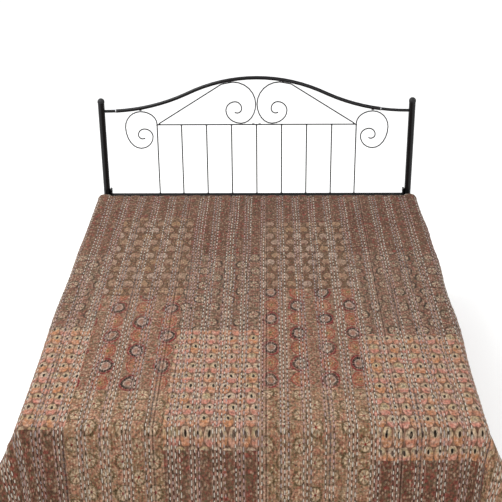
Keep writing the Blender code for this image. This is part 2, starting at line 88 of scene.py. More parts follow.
class Recipe:
    """A material's node tree, with a short method for each kind of node."""

    def __init__(self, name):
        self.material = bpy.data.materials.new(name)
        self.material.use_nodes = True
        self.tree = self.material.node_tree
        self.shader = self.tree.nodes["Principled BSDF"]

    def set(self, socket, value):
        """Link a socket, or write a number or a colour into it."""
        if isinstance(value, bpy.types.NodeSocket):
            self.tree.links.new(value, socket)
        elif isinstance(value, tuple) and len(value) == 3 and len(socket.default_value) == 4:
            socket.default_value = (*value, 1.0)
        else:
            socket.default_value = value

    def node(self, kind, **settings):
        """A node of one kind with its settings."""
        made = self.tree.nodes.new("ShaderNode" + kind)
        for name, value in settings.items():
            setattr(made, name, value)
        return made

    def maths(self, operation, *values):
        """The result of a Math node."""
        made = self.node("Math", operation=operation)
        for socket, value in zip(made.inputs, values):
            self.set(socket, value)
        return made.outputs[0]

    def times(self, first, second):
        """The product of two values."""
        return self.maths("MULTIPLY", first, second)

    def plus(self, first, second):
        """The sum of two values."""
        return self.maths("ADD", first, second)

    def minus(self, first, second):
        """The first value less the second."""
        return self.maths("SUBTRACT", first, second)

    def place(self, kind="Object"):
        """The object's own coordinates, or one of the quilt's two maps of flat metres."""
        if kind == "Object":
            return self.node("TexCoord").outputs["Object"]
        return self.node("UVMap", uv_map=kind).outputs["UV"]

    def stretch(self, vector, scale):
        """A vector with its three parts multiplied."""
        made = self.node("VectorMath", operation="MULTIPLY")
        self.set(made.inputs[0], vector)
        self.set(made.inputs[1], scale)
        return made.outputs[0]

    def noise(self, vector, scale, detail=2.0, roughness=0.5):
        """Noise from 0 to 1, with its middle at one half."""
        made = self.node("TexNoise", noise_dimensions="3D")
        for name, value in (("Vector", vector), ("Scale", scale), ("Detail", detail),
                            ("Roughness", roughness)):
            self.set(made.inputs[name], value)
        return made.outputs["Fac"]

    def step(self, value, low, high, start=0.0, end=1.0):
        """A smooth step of a value: start below low and end above high."""
        made = self.node("MapRange", interpolation_type="SMOOTHSTEP")
        for name, number in (("Value", value), ("From Min", low), ("From Max", high),
                             ("To Min", start), ("To Max", end)):
            self.set(made.inputs[name], number)
        return made.outputs["Result"]

    def mix(self, share, first, second):
        """A colour between two others: sockets 6 and 7 of a Mix node are its colours, output 2 their mix."""
        made = self.node("Mix", data_type="RGBA", blend_type="MIX")
        self.set(made.inputs[0], share)
        self.set(made.inputs[6], first)
        self.set(made.inputs[7], second)
        return made.outputs[2]

    def over(self, colour, form, ink, share=1.0):
        """A colour with an ink over it where a form is one. The ink is a screen colour or a socket."""
        if isinstance(ink, tuple):
            ink = paint(*ink)
        return self.mix(form if share == 1.0 else self.times(form, share), colour, ink)

    def bump(self, height, distance, strength=1.0, under=None):
        """A bump whose full height is the distance, on top of another one where it is given."""
        made = self.node("Bump")
        made.inputs["Strength"].default_value = strength
        made.inputs["Distance"].default_value = distance
        self.set(made.inputs["Height"], height)
        if under is not None:
            self.set(made.inputs["Normal"], under)
        return made.outputs[0]

    def finish(self, colour, roughness, normal=None, **numbers):
        """Join the shader's main sockets and set the others, which are the same all over."""
        self.set(self.shader.inputs["Base Color"], colour)
        self.set(self.shader.inputs["Roughness"], roughness)
        if normal is not None:
            self.set(self.shader.inputs["Normal"], normal)
        for name, value in numbers.items():
            self.shader.inputs[name.replace("_", " ")].default_value = value
        return self.material


LIGHT_GAIN = 1.80


def paint(red, green, blue):
    """Linear colour of a paint that looks so on a screen, from 0 to 255, under this scene's light."""
    parts = np.array([red, green, blue]) / 255.0
    linear = np.where(parts <= 0.04045, parts / 12.92, ((parts + 0.055) / 1.055) ** 2.4)
    return tuple(float(part) for part in linear / LIGHT_GAIN)


print("a mid grey is", [round(part, 3) for part in paint(128, 128, 128)])

# %% [markdown]
# ## Floor and light
# A product photograph like this one has a white sweep and large soft lights. A pale floor, a white
# world and two wide area lights give the same even light, with a little more from above.

# %% Floor and light
FLOOR_HALF = 30.0
FLOOR_GLOW = 0.12
WORLD_STRENGTH = 1.0
LIGHTS = (
    # name, place, size, watts
    ("light_above", (-2.2, 0.4, 3.4), 2.4, 92.0),
    ("light_front", (1.8, -4.2, 3.2), 3.0, 46.0),
)


bpy.context.scene.view_settings.view_transform = "Standard"


def make_floor():
    """A flat pale floor, wide enough to reach past the frame in every view."""
    corners = [(-FLOOR_HALF, -FLOOR_HALF, 0), (FLOOR_HALF, -FLOOR_HALF, 0),
               (FLOOR_HALF, FLOOR_HALF, 0), (-FLOOR_HALF, FLOOR_HALF, 0)]
    mesh = bpy.data.meshes.new("floor")
    mesh.from_pydata(corners, [], [(0, 1, 2, 3)])
    floor = bpy.data.objects.new("floor", mesh)
    bpy.context.scene.collection.objects.link(floor)
    recipe = Recipe("pale_floor")
    finish = recipe.finish((0.95, 0.95, 0.95), 0.7, Emission_Color=(1.0, 1.0, 1.0, 1.0),
                           Emission_Strength=FLOOR_GLOW)
    mesh.materials.append(finish)


def make_lights():
    """Wide area lights that all point at the middle of the bed."""
    for name, place, size, watts in LIGHTS:
        lamp = bpy.data.lights.new(name, "AREA")
        lamp.energy = watts
        lamp.size = size
        light = bpy.data.objects.new(name, lamp)
        light.location = place
        way = Vector((0.0, 0.0, 0.5)) - Vector(place)
        light.rotation_euler = way.to_track_quat("-Z", "Y").to_euler()
        bpy.context.scene.collection.objects.link(light)
    world = bpy.data.worlds.new("studio")
    world.use_nodes = True
    background = world.node_tree.nodes["Background"]
    background.inputs["Color"].default_value = (1.0, 1.0, 1.0, 1.0)
    background.inputs["Strength"].default_value = WORLD_STRENGTH
    bpy.context.scene.world = world


make_floor()
make_lights()
print("lights:", [row[0] for row in LIGHTS])

# %% [markdown]
# ## Meshes from grids
# A surface is worked out as arrays of points. These helpers turn a grid of points, or many small
# shapes at once, into a mesh, and put it on the bed with its material slot.

# %% Mesh helpers


def add_mesh(name, points, faces, materials, smooth=True):
    """An object at the world's origin from points and faces, riding on the bed."""
    mesh = bpy.data.meshes.new(name)
    mesh.from_pydata(np.asarray(points).reshape(-1, 3).tolist(), [], [list(face) for face in faces])
    if smooth:
        mesh.shade_smooth()
    for material in materials:
        mesh.materials.append(material)
    thing = bpy.data.objects.new(name, mesh)
    bpy.context.scene.collection.objects.link(thing)
    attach(thing, "root")
    return thing


def grid_faces(rows, columns, wrap_rows=False, wrap_columns=False):
    """Corner numbers of the quads of a grid, closed round its rows or its columns where asked."""
    index = np.arange(rows * columns).reshape(rows, columns)
    if wrap_rows:
        index = np.vstack([index, index[:1]])
    if wrap_columns:
        index = np.hstack([index, index[:, :1]])
    return np.stack([index[:-1, :-1], index[:-1, 1:], index[1:, 1:], index[1:, :-1]], -1).reshape(-1, 4)


def unit(vectors):
    """Vectors of length one."""
    return vectors / np.maximum(np.linalg.norm(vectors, axis=-1, keepdims=True), 1e-12)


print("a grid of 3 by 4 points has", len(grid_faces(3, 4)), "quads")

# %% [markdown]
# ## How the quilt lies
# The quilt was cut flat, 2.29 by 2.44 m. Its shape on the bed is a function of two flat parameters:
# u across the bed and v from the head hem. Inside the edges it lies flat, past an edge it turns on a
# round bend and hangs, and round a foot corner the cloth that is left over stands out in a soft fold.
# A function like this keeps the cloth's real size, which a stretched box would not.

# %% Quilt sizes
MATTRESS_TOP = 0.56
GAP = 0.0003
QUILT_WIDTH = 2.29
QUILT_LENGTH = 2.44
QUILT_THICKNESS = 0.003
BAND_COUNT = 31
BAND_RISE = 0.002
COVER_WIDTH = 1.554
COVER_LENGTH = 2.0
BEND_RADIUS = 0.03
HEAD_TURN = 0.03
LEAN = math.radians(2.0)
HEAD_EDGE_Y = 1.084
COVER_TOP = MATTRESS_TOP + GAP + QUILT_THICKNESS
COVER_MIDDLE = COVER_TOP - QUILT_THICKNESS / 2
SIDE_BEND_START = COVER_WIDTH / 2 - BEND_RADIUS
FOOT_BEND_START = HEAD_TURN + COVER_LENGTH - 2 * BEND_RADIUS
BEND_ARC = BEND_RADIUS * math.pi / 2
DROP = QUILT_WIDTH / 2 - SIDE_BEND_START
FOLDS = (
    # edge, place, half width, depth at the hem, swell at the edge
    ("left", 0.22, 0.13, 0.010, 0.000),
    ("left", 0.62, 0.17, 0.016, 0.004),
    ("left", 0.90, 0.10, -0.007, 0.000),
    ("left", 1.18, 0.26, 0.019, 0.008),
    ("left", 1.56, 0.11, -0.006, 0.000),
    ("right", 0.36, 0.14, 0.018, 0.009),
    ("right", 0.70, 0.20, 0.012, 0.013),
    ("right", 0.98, 0.12, -0.007, 0.000),
    ("right", 1.25, 0.22, 0.017, 0.012),
    ("right", 1.60, 0.10, -0.005, 0.000),
    ("foot", -0.44, 0.13, 0.013, 0.001),
    ("foot", -0.20, 0.11, -0.006, 0.000),
    ("foot", 0.06, 0.16, 0.019, 0.003),
    ("foot", 0.31, 0.10, -0.006, 0.000),
    ("foot", 0.50, 0.11, 0.012, 0.001),
)
NECK_TURN = math.radians(66)
NECK_RADIUS = math.radians(11)
FLANK = math.radians(13)
NOSE_RADIUS = math.radians(12.5)
SECTION_STEP = math.radians(0.5)
CORNER_CALM = (0.12, 0.42)
print("drop at the sides", round(DROP, 3), "m")

# %% [markdown]
# ### The corner
# Round a foot corner the hanging cloth is a cone: every thread that runs out from the corner hangs
# straight, and its directions trace a path on a sphere. The path comes down one side, turns out at
# the neck, rounds the nose of the fold and comes back, so the cloth there is neither torn nor stretched.

# %% Corner section


def corner_section():
    """Unit directions round a foot corner, and the flat cloth's angle that each one belongs to.

    The path is summed from short steps: a straight, a turn at the neck, a flank, the nose and the
    same back, in degrees outwards from straight down, and then bent over the sphere.
    """
    nose_turn = math.pi / 2 + 2 * NECK_TURN
    slope = math.pi / 2 - NECK_TURN
    straight = (math.pi / 2 + NECK_RADIUS * (1 - math.cos(NECK_TURN) - math.sin(NECK_TURN))
                + FLANK * (math.cos(slope) - math.sin(slope))
                - NOSE_RADIUS * (math.sin(slope) + math.cos(slope)))
    legs = (
        # length, turn to the left
        (straight, 0.0),
        (NECK_RADIUS * NECK_TURN, -NECK_TURN),
        (FLANK, 0.0),
        (NOSE_RADIUS * nose_turn, nose_turn),
        (FLANK, 0.0),
        (NECK_RADIUS * NECK_TURN, -NECK_TURN),
        (straight, 0.0),
    )
    headings = []
    heading = math.pi / 2
    for length, turn in legs:
        count = max(2, round(length / SECTION_STEP))
        middles = (np.arange(count) + 0.5) / count
        headings.append(np.stack([heading + turn * middles, np.full(count, length / count)], axis=1))
        heading += turn
    headings = np.concatenate(headings)
    steps = headings[:, 1:] * np.stack([np.cos(headings[:, 0]), np.sin(headings[:, 0])], axis=1)
    path = np.vstack([[0.0, 0.0], np.cumsum(steps, axis=0)]) + [0.0, -math.pi / 2]
    slant = np.linalg.norm(path, axis=1)
    outward = path / np.maximum(slant, 1e-9)[:, None]
    directions = np.column_stack([outward * np.sin(slant)[:, None], -np.cos(slant)])
    lengths = np.concatenate([[0.0], np.cumsum(np.linalg.norm(np.diff(directions, axis=0), axis=1))])
    whole = 1.5 * math.pi
    angles = np.interp(lengths, [0.0, straight, lengths[-1] - straight, lengths[-1]],
                       [0.0, straight, whole - straight, whole])
    return directions, angles - math.pi / 2


section_directions, section_angles = corner_section()
print("corner section:", len(section_angles), "directions")

# %% [markdown]
# ### The drape
# The same function as the solid's own: level, round bend, hanging, with soft folds that deepen
# towards the hem. It works on whole arrays, so a hundred thousand points take under a second.

# %% Drape


def smooth_step(value, low, high):
    """0 below low, 1 above high and a smooth rise between them."""
    share = np.clip((value - low) / (high - low), 0.0, 1.0)
    return share * share * (3 - 2 * share)


def fold_sum(edge, place, column):
    """Sum of one edge's bell-shaped folds at the given places, from one column of FOLDS."""
    total = np.zeros_like(place)
    for row in FOLDS:
        if row[0] == edge:
            total += row[column] * np.exp(-((place - row[1]) / row[2]) ** 2)
    return total


def drape(u, v):
    """Place of the middle of the cloth: level inside the edges, an arc of the bend, then a straight drop.

    Past an edge the point is the edge, plus radius times the sine of the turn outwards, plus radius
    times one minus its cosine down, plus what is left of the cloth along the hanging direction.
    """
    side = np.where(u < 0, -1.0, 1.0)
    across = np.abs(u) - SIDE_BEND_START
    along = v - FOOT_BEND_START
    over_side = np.maximum(across, 0.0)
    over_foot = np.maximum(along, 0.0)
    over = np.hypot(over_side, over_foot)
    safe_over = np.maximum(over, 1e-9)

    reach = np.hypot(across, along)
    angle = np.arctan2(along, across)
    cone = unit(np.stack([np.interp(angle, section_angles, section_directions[:, axis])
                          for axis in range(3)], axis=-1))
    edge_point = np.stack([np.minimum(across, 0.0), np.minimum(along, 0.0), np.zeros_like(u)], axis=-1)
    hang = unit(reach[..., None] * cone - edge_point)

    level = np.stack([over_side / safe_over, over_foot / safe_over, np.zeros_like(u)], axis=-1)
    cosine = np.sum(level * hang, axis=-1, keepdims=True)
    turn = np.arccos(np.clip(cosine, -1.0, 1.0))
    inward = (hang - level * cosine) / np.maximum(np.sin(turn), 1e-9)
    from_head = v - HEAD_TURN + BEND_RADIUS
    edges = {"left": (u < 0) & (across > 0), "right": (u >= 0) & (across > 0), "foot": along > 0}
    calm = smooth_step(np.where(across > 0, -along, -across), *CORNER_CALM)
    swell = np.zeros_like(u)
    depth = np.zeros_like(u)
    for edge, here in edges.items():
        place = u if edge == "foot" else from_head
        swell += np.where(here, fold_sum(edge, place, 4), 0.0) * calm
        depth += np.where(here, fold_sum(edge, place, 3), 0.0) * calm
    radius = (BEND_RADIUS + swell)[..., None]
    distance = over[..., None]
    bend = np.minimum(distance / radius, turn)
    place = (edge_point + level * radius * np.sin(bend) + inward * radius * (1 - np.cos(bend))
             + hang * np.maximum(distance - turn * radius, 0.0))

    below = np.maximum(over - BEND_RADIUS, 0.0)
    outwards = (depth * (below / DROP) ** 1.3 + below * math.tan(LEAN) * calm)[..., None]
    place = place + outwards * np.stack(
        [(across > 0) * (along <= 0) * 1.0, (along > 0) * (across <= 0) * 1.0, np.zeros_like(u)], axis=-1)

    x = side * (place[..., 0] + SIDE_BEND_START)
    y = HEAD_EDGE_Y - COVER_LENGTH + BEND_RADIUS - place[..., 1]
    z = COVER_MIDDLE + place[..., 2]
    to_head = np.maximum(HEAD_TURN - v, 0.0) / BEND_RADIUS
    lying = 1 - smooth_step(across, -0.06, 0.0)
    y = y - lying * BEND_RADIUS * (to_head - np.sin(to_head))
    z = z - lying * BEND_RADIUS * (1 - np.cos(to_head))
    return np.stack([x, y, z], axis=-1)


def drape_normal(u, v, reach=0.002):
    """Outward unit normal of the draped cloth: across-step times along-step, turned outwards."""
    across = drape(u + reach, v) - drape(u - reach, v)
    along = drape(u, v + reach) - drape(u, v - reach)
    return -unit(np.cross(across, along))


corners = drape(np.array([0.0, 1.145, 0.0]), np.array([0.0, 1.0, 2.44]))
print("head, side hem and foot hem at", np.round(corners, 3).tolist())

# %% [markdown]
# ### Patchwork
# The top is sewn from strips of old printed cloth. Five columns show on the bed and one more hangs
# at each side. Each column is a stack of patches, so a short table says where its prints change.

# %% Patchwork table
COLUMN_EDGES = (-0.93, -0.608, -0.286, 0.028, 0.406, 0.802)
COLUMNS = (
    # prints from the head to the foot, with the flat distance from the head hem where each ends
    (("sprig", 0.32), ("lotus", 1.03), ("ring", 1.75), ("golden", 2.44)),
    (("sprig", 0.68), ("medallion", 1.33), ("acorn", 1.99), ("sprig", 2.44)),
    (("sprig", 0.30), ("lotus", 1.07), ("ring", 1.77), ("golden", 2.44)),
    (("sprig", 0.69), ("medallion", 1.35), ("acorn", 2.06), ("sprig", 2.44)),
    (("sprig", 0.35), ("lotus", 1.01), ("ring", 1.75), ("golden", 2.44)),
    (("sprig", 0.67), ("medallion", 1.38), ("acorn", 2.10), ("sprig", 2.44)),
    (("sprig", 0.33), ("lotus", 1.04), ("ring", 1.72), ("golden", 2.44)),
)
PRINTS = ("sprig", "lotus", "ring", "medallion", "acorn", "golden")
PRINT_SHIFTS = (
    # column from the left hem, print, shift across, shift along
    (2, "ring", 0.037, -0.028),
    (4, "ring", 0.015, 0.060),
)


def print_numbers(u, v):
    """Number in PRINTS of the print at flat points, from the tables."""
    column = np.searchsorted(COLUMN_EDGES, u)
    numbers = np.zeros(u.shape, dtype=int)
    for place, patches in enumerate(COLUMNS):
        ends = [end for name, end in patches]
        row = np.minimum(np.searchsorted(ends, v), len(patches) - 1)
        names = np.array([PRINTS.index(name) for name, end in patches])
        numbers = np.where(column == place, names[row], numbers)
    return numbers


def print_shifts(u, v):
    """How far the print of the patch at flat points is moved from the plain repeat, in metres."""
    column = np.searchsorted(COLUMN_EDGES, u)
    numbers = print_numbers(u, v)
    moved = np.zeros((*u.shape, 2))
    for place, name, across, along in PRINT_SHIFTS:
        moved[(column == place) & (numbers == PRINTS.index(name))] = across, along
    return moved


print("patches:", sum(len(patches) for patches in COLUMNS))

# %% [markdown]
# ### Quilting
# Kantha is held by lines of running stitch in small groups. Each line pulls the layers together, so
# the cloth swells between the groups and ripples along them. The ripples come from sums of sines
# whose phase changes from line to line, which looks hand made and is the same at each run.

# %% Quilting relief
GROUP_PITCH = QUILT_WIDTH / BAND_COUNT
STITCH_PITCH = 0.029
LINE_STEP = 0.0128
VALLEY_WIDTH = 0.0042
VALLEY_DEPTH = 0.0009
RIPPLE_REACH = 0.022
WIDE_RIPPLE = 0.067
FINE_RISE = 0.0005
WIDE_RISE = 0.0007
HEM_WIDTH = 0.012
HEM_RISE = 0.0006
SEAM_RISE = 0.0005
SEAM_HALF_WIDTH = 0.004


def wander(place, seed, reach):
    """A slow wavering of a line that was sewn by hand: three sines with their own lengths."""
    waves = (
        # waves a metre, share
        (1.3, 0.5),
        (3.1, 0.3),
        (7.7, 0.2),
    )
    total = np.zeros(np.broadcast(place, seed).shape)
    for number, (rate, share) in enumerate(waves):
        total += share * np.sin(2 * math.pi * rate * place + seed * (2.7 + 1.9 * number) + number)
    return reach * total


def group_place(u):
    """Number of the nearest group of stitch lines, and the distance across from its middle."""
    number = np.round((u + QUILT_WIDTH / 2) / GROUP_PITCH)
    return number, u + QUILT_WIDTH / 2 - number * GROUP_PITCH


def ripple(u, v):
    """Small puckers: fine ridges across a group, a stitch apart, and wider uneven ones between groups."""
    number, away = group_place(u)
    phase = wander(v, number * 1.7, 1.0) + wander(u, number * 0.6, 1.4)
    near = np.exp(-(away / RIPPLE_REACH) ** 2)
    fine = np.sin(2 * math.pi * v / STITCH_PITCH + 3.0 * phase) * near
    wide = np.sin(2 * math.pi * v / WIDE_RIPPLE + 5.0 * phase) * (1 - 0.6 * near)
    return FINE_RISE * fine + WIDE_RISE * wide


def seam_rise(u, v):
    """A low ridge where patches are sewn together: a bell curve of the distance from the nearest seam."""
    nearest = np.min(np.abs(u[..., None] - np.array(COLUMN_EDGES)), axis=-1)
    column = np.searchsorted(COLUMN_EDGES, u)
    for place, patches in enumerate(COLUMNS):
        ends = np.array([end for name, end in patches[:-1]])
        across = np.min(np.abs(v[..., None] - ends), axis=-1)
        nearest = np.where(column == place, np.minimum(nearest, across), nearest)
    return SEAM_RISE * np.exp(-(nearest / SEAM_HALF_WIDTH) ** 2)


def relief(u, v):
    """Rise of the face over the cloth's half thickness: band, less valley, plus ripple, hem and seams."""
    number, away = group_place(u)
    share = np.clip(np.abs(away) / (GROUP_PITCH / 2), 0.0, 1.0)
    band = BAND_RISE * np.sin(share * math.pi / 2) ** 1.5
    line = away - wander(v, number, 0.0012)
    valley = sum(np.exp(-((line - step * LINE_STEP) / VALLEY_WIDTH) ** 2) for step in (-1, 0, 1))
    from_hem = np.minimum(np.minimum(QUILT_WIDTH / 2 - np.abs(u), v), QUILT_LENGTH - v)
    hem = HEM_RISE * (1 - smooth_step(from_hem, HEM_WIDTH - 0.004, HEM_WIDTH))
    calm = smooth_step(from_hem, 0.0, 0.02)
    return (band - VALLEY_DEPTH * valley + ripple(u, v) + seam_rise(u, v)) * calm + hem


def face_point(u, v):
    """A point on the quilt's face: the drape, plus half the thickness and the relief along its normal."""
    return drape(u, v) + drape_normal(u, v) * (QUILT_THICKNESS / 2 + relief(u, v))[..., None]


sample = relief(*np.meshgrid(np.linspace(-0.4, 0.4, 200), np.linspace(0.5, 1.5, 200)))
print("relief from", round(float(sample.min()) * 1000, 2), "to", round(float(sample.max()) * 1000, 2), "mm")

# %% [markdown]
# ## Printed cotton
# The prints are block prints: a small motif repeats in rows, each row shifted by half, and the hand
# leaves it a little out of place and unevenly inked. Each recipe works out where a point lies inside
# its motif's cell and builds the motif from ovals, rings and petals, in flat metres on the cloth.

# %% Block print helpers
WOBBLE = 0.0022
DRIFT = 0.006


def flat_cloth(recipe, wobble=WOBBLE):
    """Flat u and v in metres, pushed about: a little from block to block, and more over a long way."""
    place = recipe.place("print")
    split = recipe.node("SeparateXYZ")
    recipe.set(split.inputs[0], place)
    moved = []
    for number, socket in enumerate(("X", "Y")):
        push = recipe.noise(place, 31.0 + 9.0 * number, 1.0)
        slow = recipe.noise(place, 5.0 + 2.0 * number, 1.0)
        shift = recipe.maths("MULTIPLY_ADD", push, 4 * wobble, -2 * wobble - 2 * DRIFT)
        shift = recipe.maths("MULTIPLY_ADD", slow, 4 * DRIFT, shift)
        moved.append(recipe.plus(split.outputs[socket], shift))
    return place, moved[0], moved[1]


def cells(recipe, u, v, pitch, rows, by_column=False):
    """Place inside a half-shifted cell, and a chance number for each cell.

    The row is the whole part of v over its pitch, and every second row shifts u by half a pitch.
    By column the two change places.
    """
    if by_column:
        x, y, chance = cells(recipe, v, u, rows, pitch)
        return y, x, chance
    along = recipe.maths("DIVIDE", v, rows)
    row = recipe.maths("FLOOR", along)
    shift = recipe.maths("FRACT", recipe.times(row, 0.5))
    across = recipe.plus(recipe.maths("DIVIDE", u, pitch), shift)
    column = recipe.maths("FLOOR", across)
    x = recipe.times(recipe.minus(across, recipe.plus(column, 0.5)), pitch)
    y = recipe.times(recipe.minus(along, recipe.plus(row, 0.5)), rows)
    corner = recipe.node("CombineXYZ")
    recipe.set(corner.inputs[0], column)
    recipe.set(corner.inputs[1], row)
    chance = recipe.node("TexWhiteNoise", noise_dimensions="2D")
    recipe.set(chance.inputs["Vector"], corner.outputs[0])
    return x, y, chance.outputs["Value"]


def oval(recipe, x, y, half_width, half_height, down=0.0):
    """Distance from an oval's middle, which is one on its outline."""
    across = recipe.maths("DIVIDE", x, half_width)
    upright = recipe.maths("DIVIDE", recipe.minus(y, down), half_height)
    square = recipe.times(across, across)
    return recipe.maths("SQRT", recipe.maths("MULTIPLY_ADD", upright, upright, square))


def inside(recipe, radius, edge, soft=0.12):
    """One inside an oval and nothing outside it."""
    return recipe.step(radius, edge - soft, edge + soft, 1.0, 0.0)


def band(recipe, radius, middle, half_width):
    """One on a ring of an oval's radius, fading to nothing at its half width."""
    away = recipe.maths("ABSOLUTE", recipe.minus(radius, middle))
    return recipe.step(away, 0.45 * half_width, half_width, 1.0, 0.0)


def petals(recipe, x, y, count, squeeze):
    """A wave of that many petals round a middle, from 0 to 1."""
    angle = recipe.maths("ARCTAN2", recipe.times(y, squeeze), x)
    return recipe.maths("MULTIPLY_ADD", recipe.maths("COSINE", recipe.times(angle, count)), 0.5, 0.5)


def scribble(recipe, place, scale, lines, width):
    """Thin wandering lines: where a noise, times a number of lines, passes a whole number and a half."""
    waves = recipe.times(recipe.noise(place, scale, 1.0), lines)
    near = recipe.maths("ABSOLUTE", recipe.minus(recipe.maths("FRACT", waves), 0.5))
    return recipe.step(near, 0.0, width, 1.0, 0.0)


def specks(recipe, place, scale, size):
    """Small round dots scattered over the cloth, and a chance number for each."""
    made = recipe.node("TexVoronoi", voronoi_dimensions="2D", feature="F1")
    recipe.set(made.inputs["Vector"], place)
    recipe.set(made.inputs["Scale"], scale)
    split = recipe.node("SeparateColor")
    recipe.set(split.inputs[0], made.outputs["Color"])
    return recipe.step(made.outputs["Distance"], 0.6 * size, size, 1.0, 0.0), split.outputs[0]


print("the rows of a print drift by about", DRIFT * 1000, "mm")

# %% [markdown]
# ### What age does to the cloth
# Every print is finished the same way, so that the patches look sewn into one old cloth. Rubbed specks and
# clouds fade it, painted shade darkens the dips that the thread pulls into it, the puckers between the lines
# are worn pale, and a bump of slubs and wefts gives its weave. All of it is a little stronger towards the
# foot.

# %% Old cotton
DIP_EDGE = (0.001, 0.0044)
GROUP_EDGE = (1.3, 1.7)
FRESH_FROM = (0.4, 2.0)
HEAD_SHADE, FOOT_SHADE = 0.36, 0.48
HEAD_RUBBED, FOOT_RUBBED = 0.22, 0.38
HEAD_LIGHT, FOOT_LIGHT = 0.94, 1.03
MOTTLE_GAIN, MOTTLE_BASE = 3.0, -0.46
DIP_BUMP_DEPTH = 0.0025
CREASE_DEPTH = 0.0040
WEAVE_DEPTH = 0.0004


def stitch_marks(recipe):
    """The dips along the stitch lines, where shade is painted, the puckers that stand up between them, and a
    freshness.

    The distance from the nearest group's middle folds u over and over, and folding it once more at
    half a line step gives the distance from the nearest line. The freshness rises from the head,
    which hands and sun have faded, to one at the foot.
    """
    split = recipe.node("SeparateXYZ")
    recipe.set(split.inputs[0], recipe.place("flat"))
    moved = recipe.plus(split.outputs["X"], QUILT_WIDTH / 2)
    away = recipe.maths("PINGPONG", moved, GROUP_PITCH / 2)
    to_line = recipe.maths("PINGPONG", away, LINE_STEP / 2)
    dip = recipe.step(to_line, *DIP_EDGE, 1.0, 0.0)
    group = recipe.step(away, *[share * LINE_STEP for share in GROUP_EDGE], 1.0, 0.0)
    dips = recipe.times(dip, group)
    return dips, recipe.minus(group, dips), recipe.step(split.outputs["Y"], *FRESH_FROM)


def finish_cotton(recipe, place, colour, speckle):
    """Old cotton over a print: rubbed specks of three tones, faded clouds, mottling, worn puckers, painted
    shade in the stitch dips and its weave.
    """
    worn, kind = specks(recipe, recipe.stretch(place, (1.0, 0.55, 1.0)), 112.0, 0.46)
    tone = recipe.mix(recipe.step(kind, 0.60, 0.66), paint(98, 88, 60), paint(210, 180, 152))
    tone = recipe.mix(recipe.step(kind, 0.30, 0.36), paint(146, 62, 56), tone)
    colour = recipe.over(colour, worn, tone, speckle)
    cloud = recipe.step(recipe.noise(place, 3.1, 2.0), 0.35, 0.75, 0.0, 0.18)
    colour = recipe.over(colour, cloud, (166, 132, 106))
    mottle = recipe.noise(recipe.stretch(place, (1.0, 0.6, 1.0)), 125.0, 2.0, 0.6)
    dips, puckers, fresh = stitch_marks(recipe)
    rubbed = recipe.times(recipe.step(recipe.noise(place, 11.0, 2.0), 0.35, 0.65, 0.4, 1.0),
                          recipe.maths("MULTIPLY_ADD", fresh, FOOT_RUBBED - HEAD_RUBBED, HEAD_RUBBED))
    colour = recipe.over(colour, recipe.times(puckers, rubbed), (216, 178, 158))
    value = recipe.node("HueSaturation")
    recipe.set(value.inputs["Color"], colour)
    shade = recipe.maths("MULTIPLY_ADD", mottle, MOTTLE_GAIN, MOTTLE_BASE)
    shade = recipe.times(shade, recipe.maths("MULTIPLY_ADD", fresh, FOOT_LIGHT - HEAD_LIGHT, HEAD_LIGHT))
    # Painted shade: the value is darkened in the dips along the stitch lines, more deeply towards the foot;
    # the same map is the height of a bump.
    deep = recipe.maths("MULTIPLY_ADD", fresh, FOOT_SHADE - HEAD_SHADE, HEAD_SHADE)
    dip_shade = recipe.minus(1.0, recipe.times(dips, deep))
    recipe.set(value.inputs["Value"], recipe.times(shade, dip_shade))
    slub = recipe.noise(recipe.stretch(place, (1400.0, 220.0, 1.0)), 1.0, 2.0)
    weft = recipe.noise(recipe.stretch(place, (220.0, 1400.0, 1.0)), 1.0, 2.0)
    creases = recipe.noise(recipe.stretch(place, (60.0, 110.0, 1.0)), 1.0, 3.0, 0.6)
    normal = recipe.bump(creases, CREASE_DEPTH, 1.0, recipe.bump(dip_shade, DIP_BUMP_DEPTH, 1.0))
    normal = recipe.bump(recipe.plus(slub, weft), WEAVE_DEPTH, 0.5, normal)
    return recipe.finish(value.outputs[0], 0.95, normal, Sheen_Weight=0.04, Sheen_Roughness=0.6,
                         Specular_IOR_Level=0.08)


prints = {}


def keep_print(name, material):
    """Keep a print under its name, and say how many nodes it took."""
    prints[name] = material
    print(name, "print:", len(material.node_tree.nodes), "nodes")


print("a dip fades out", DIP_EDGE[1] * 1000, "mm from its line")

# %% [markdown]
# ### The prints
# Seen close up they are: acorn-like drops with a dark eye; ovals of black and red with rosettes
# between; oval medallions with petals, in two colourings; ribbed lotus fans; and small red sprigs on a
# brown ground. Each is laid down as a printer would: the ground, then one ink after another.

# %% Acorn print
DROP_CELL = (0.0385, 0.066)
DROP_SIZE = (0.0190, 0.0382)
EYE_HEIGHT = -0.012


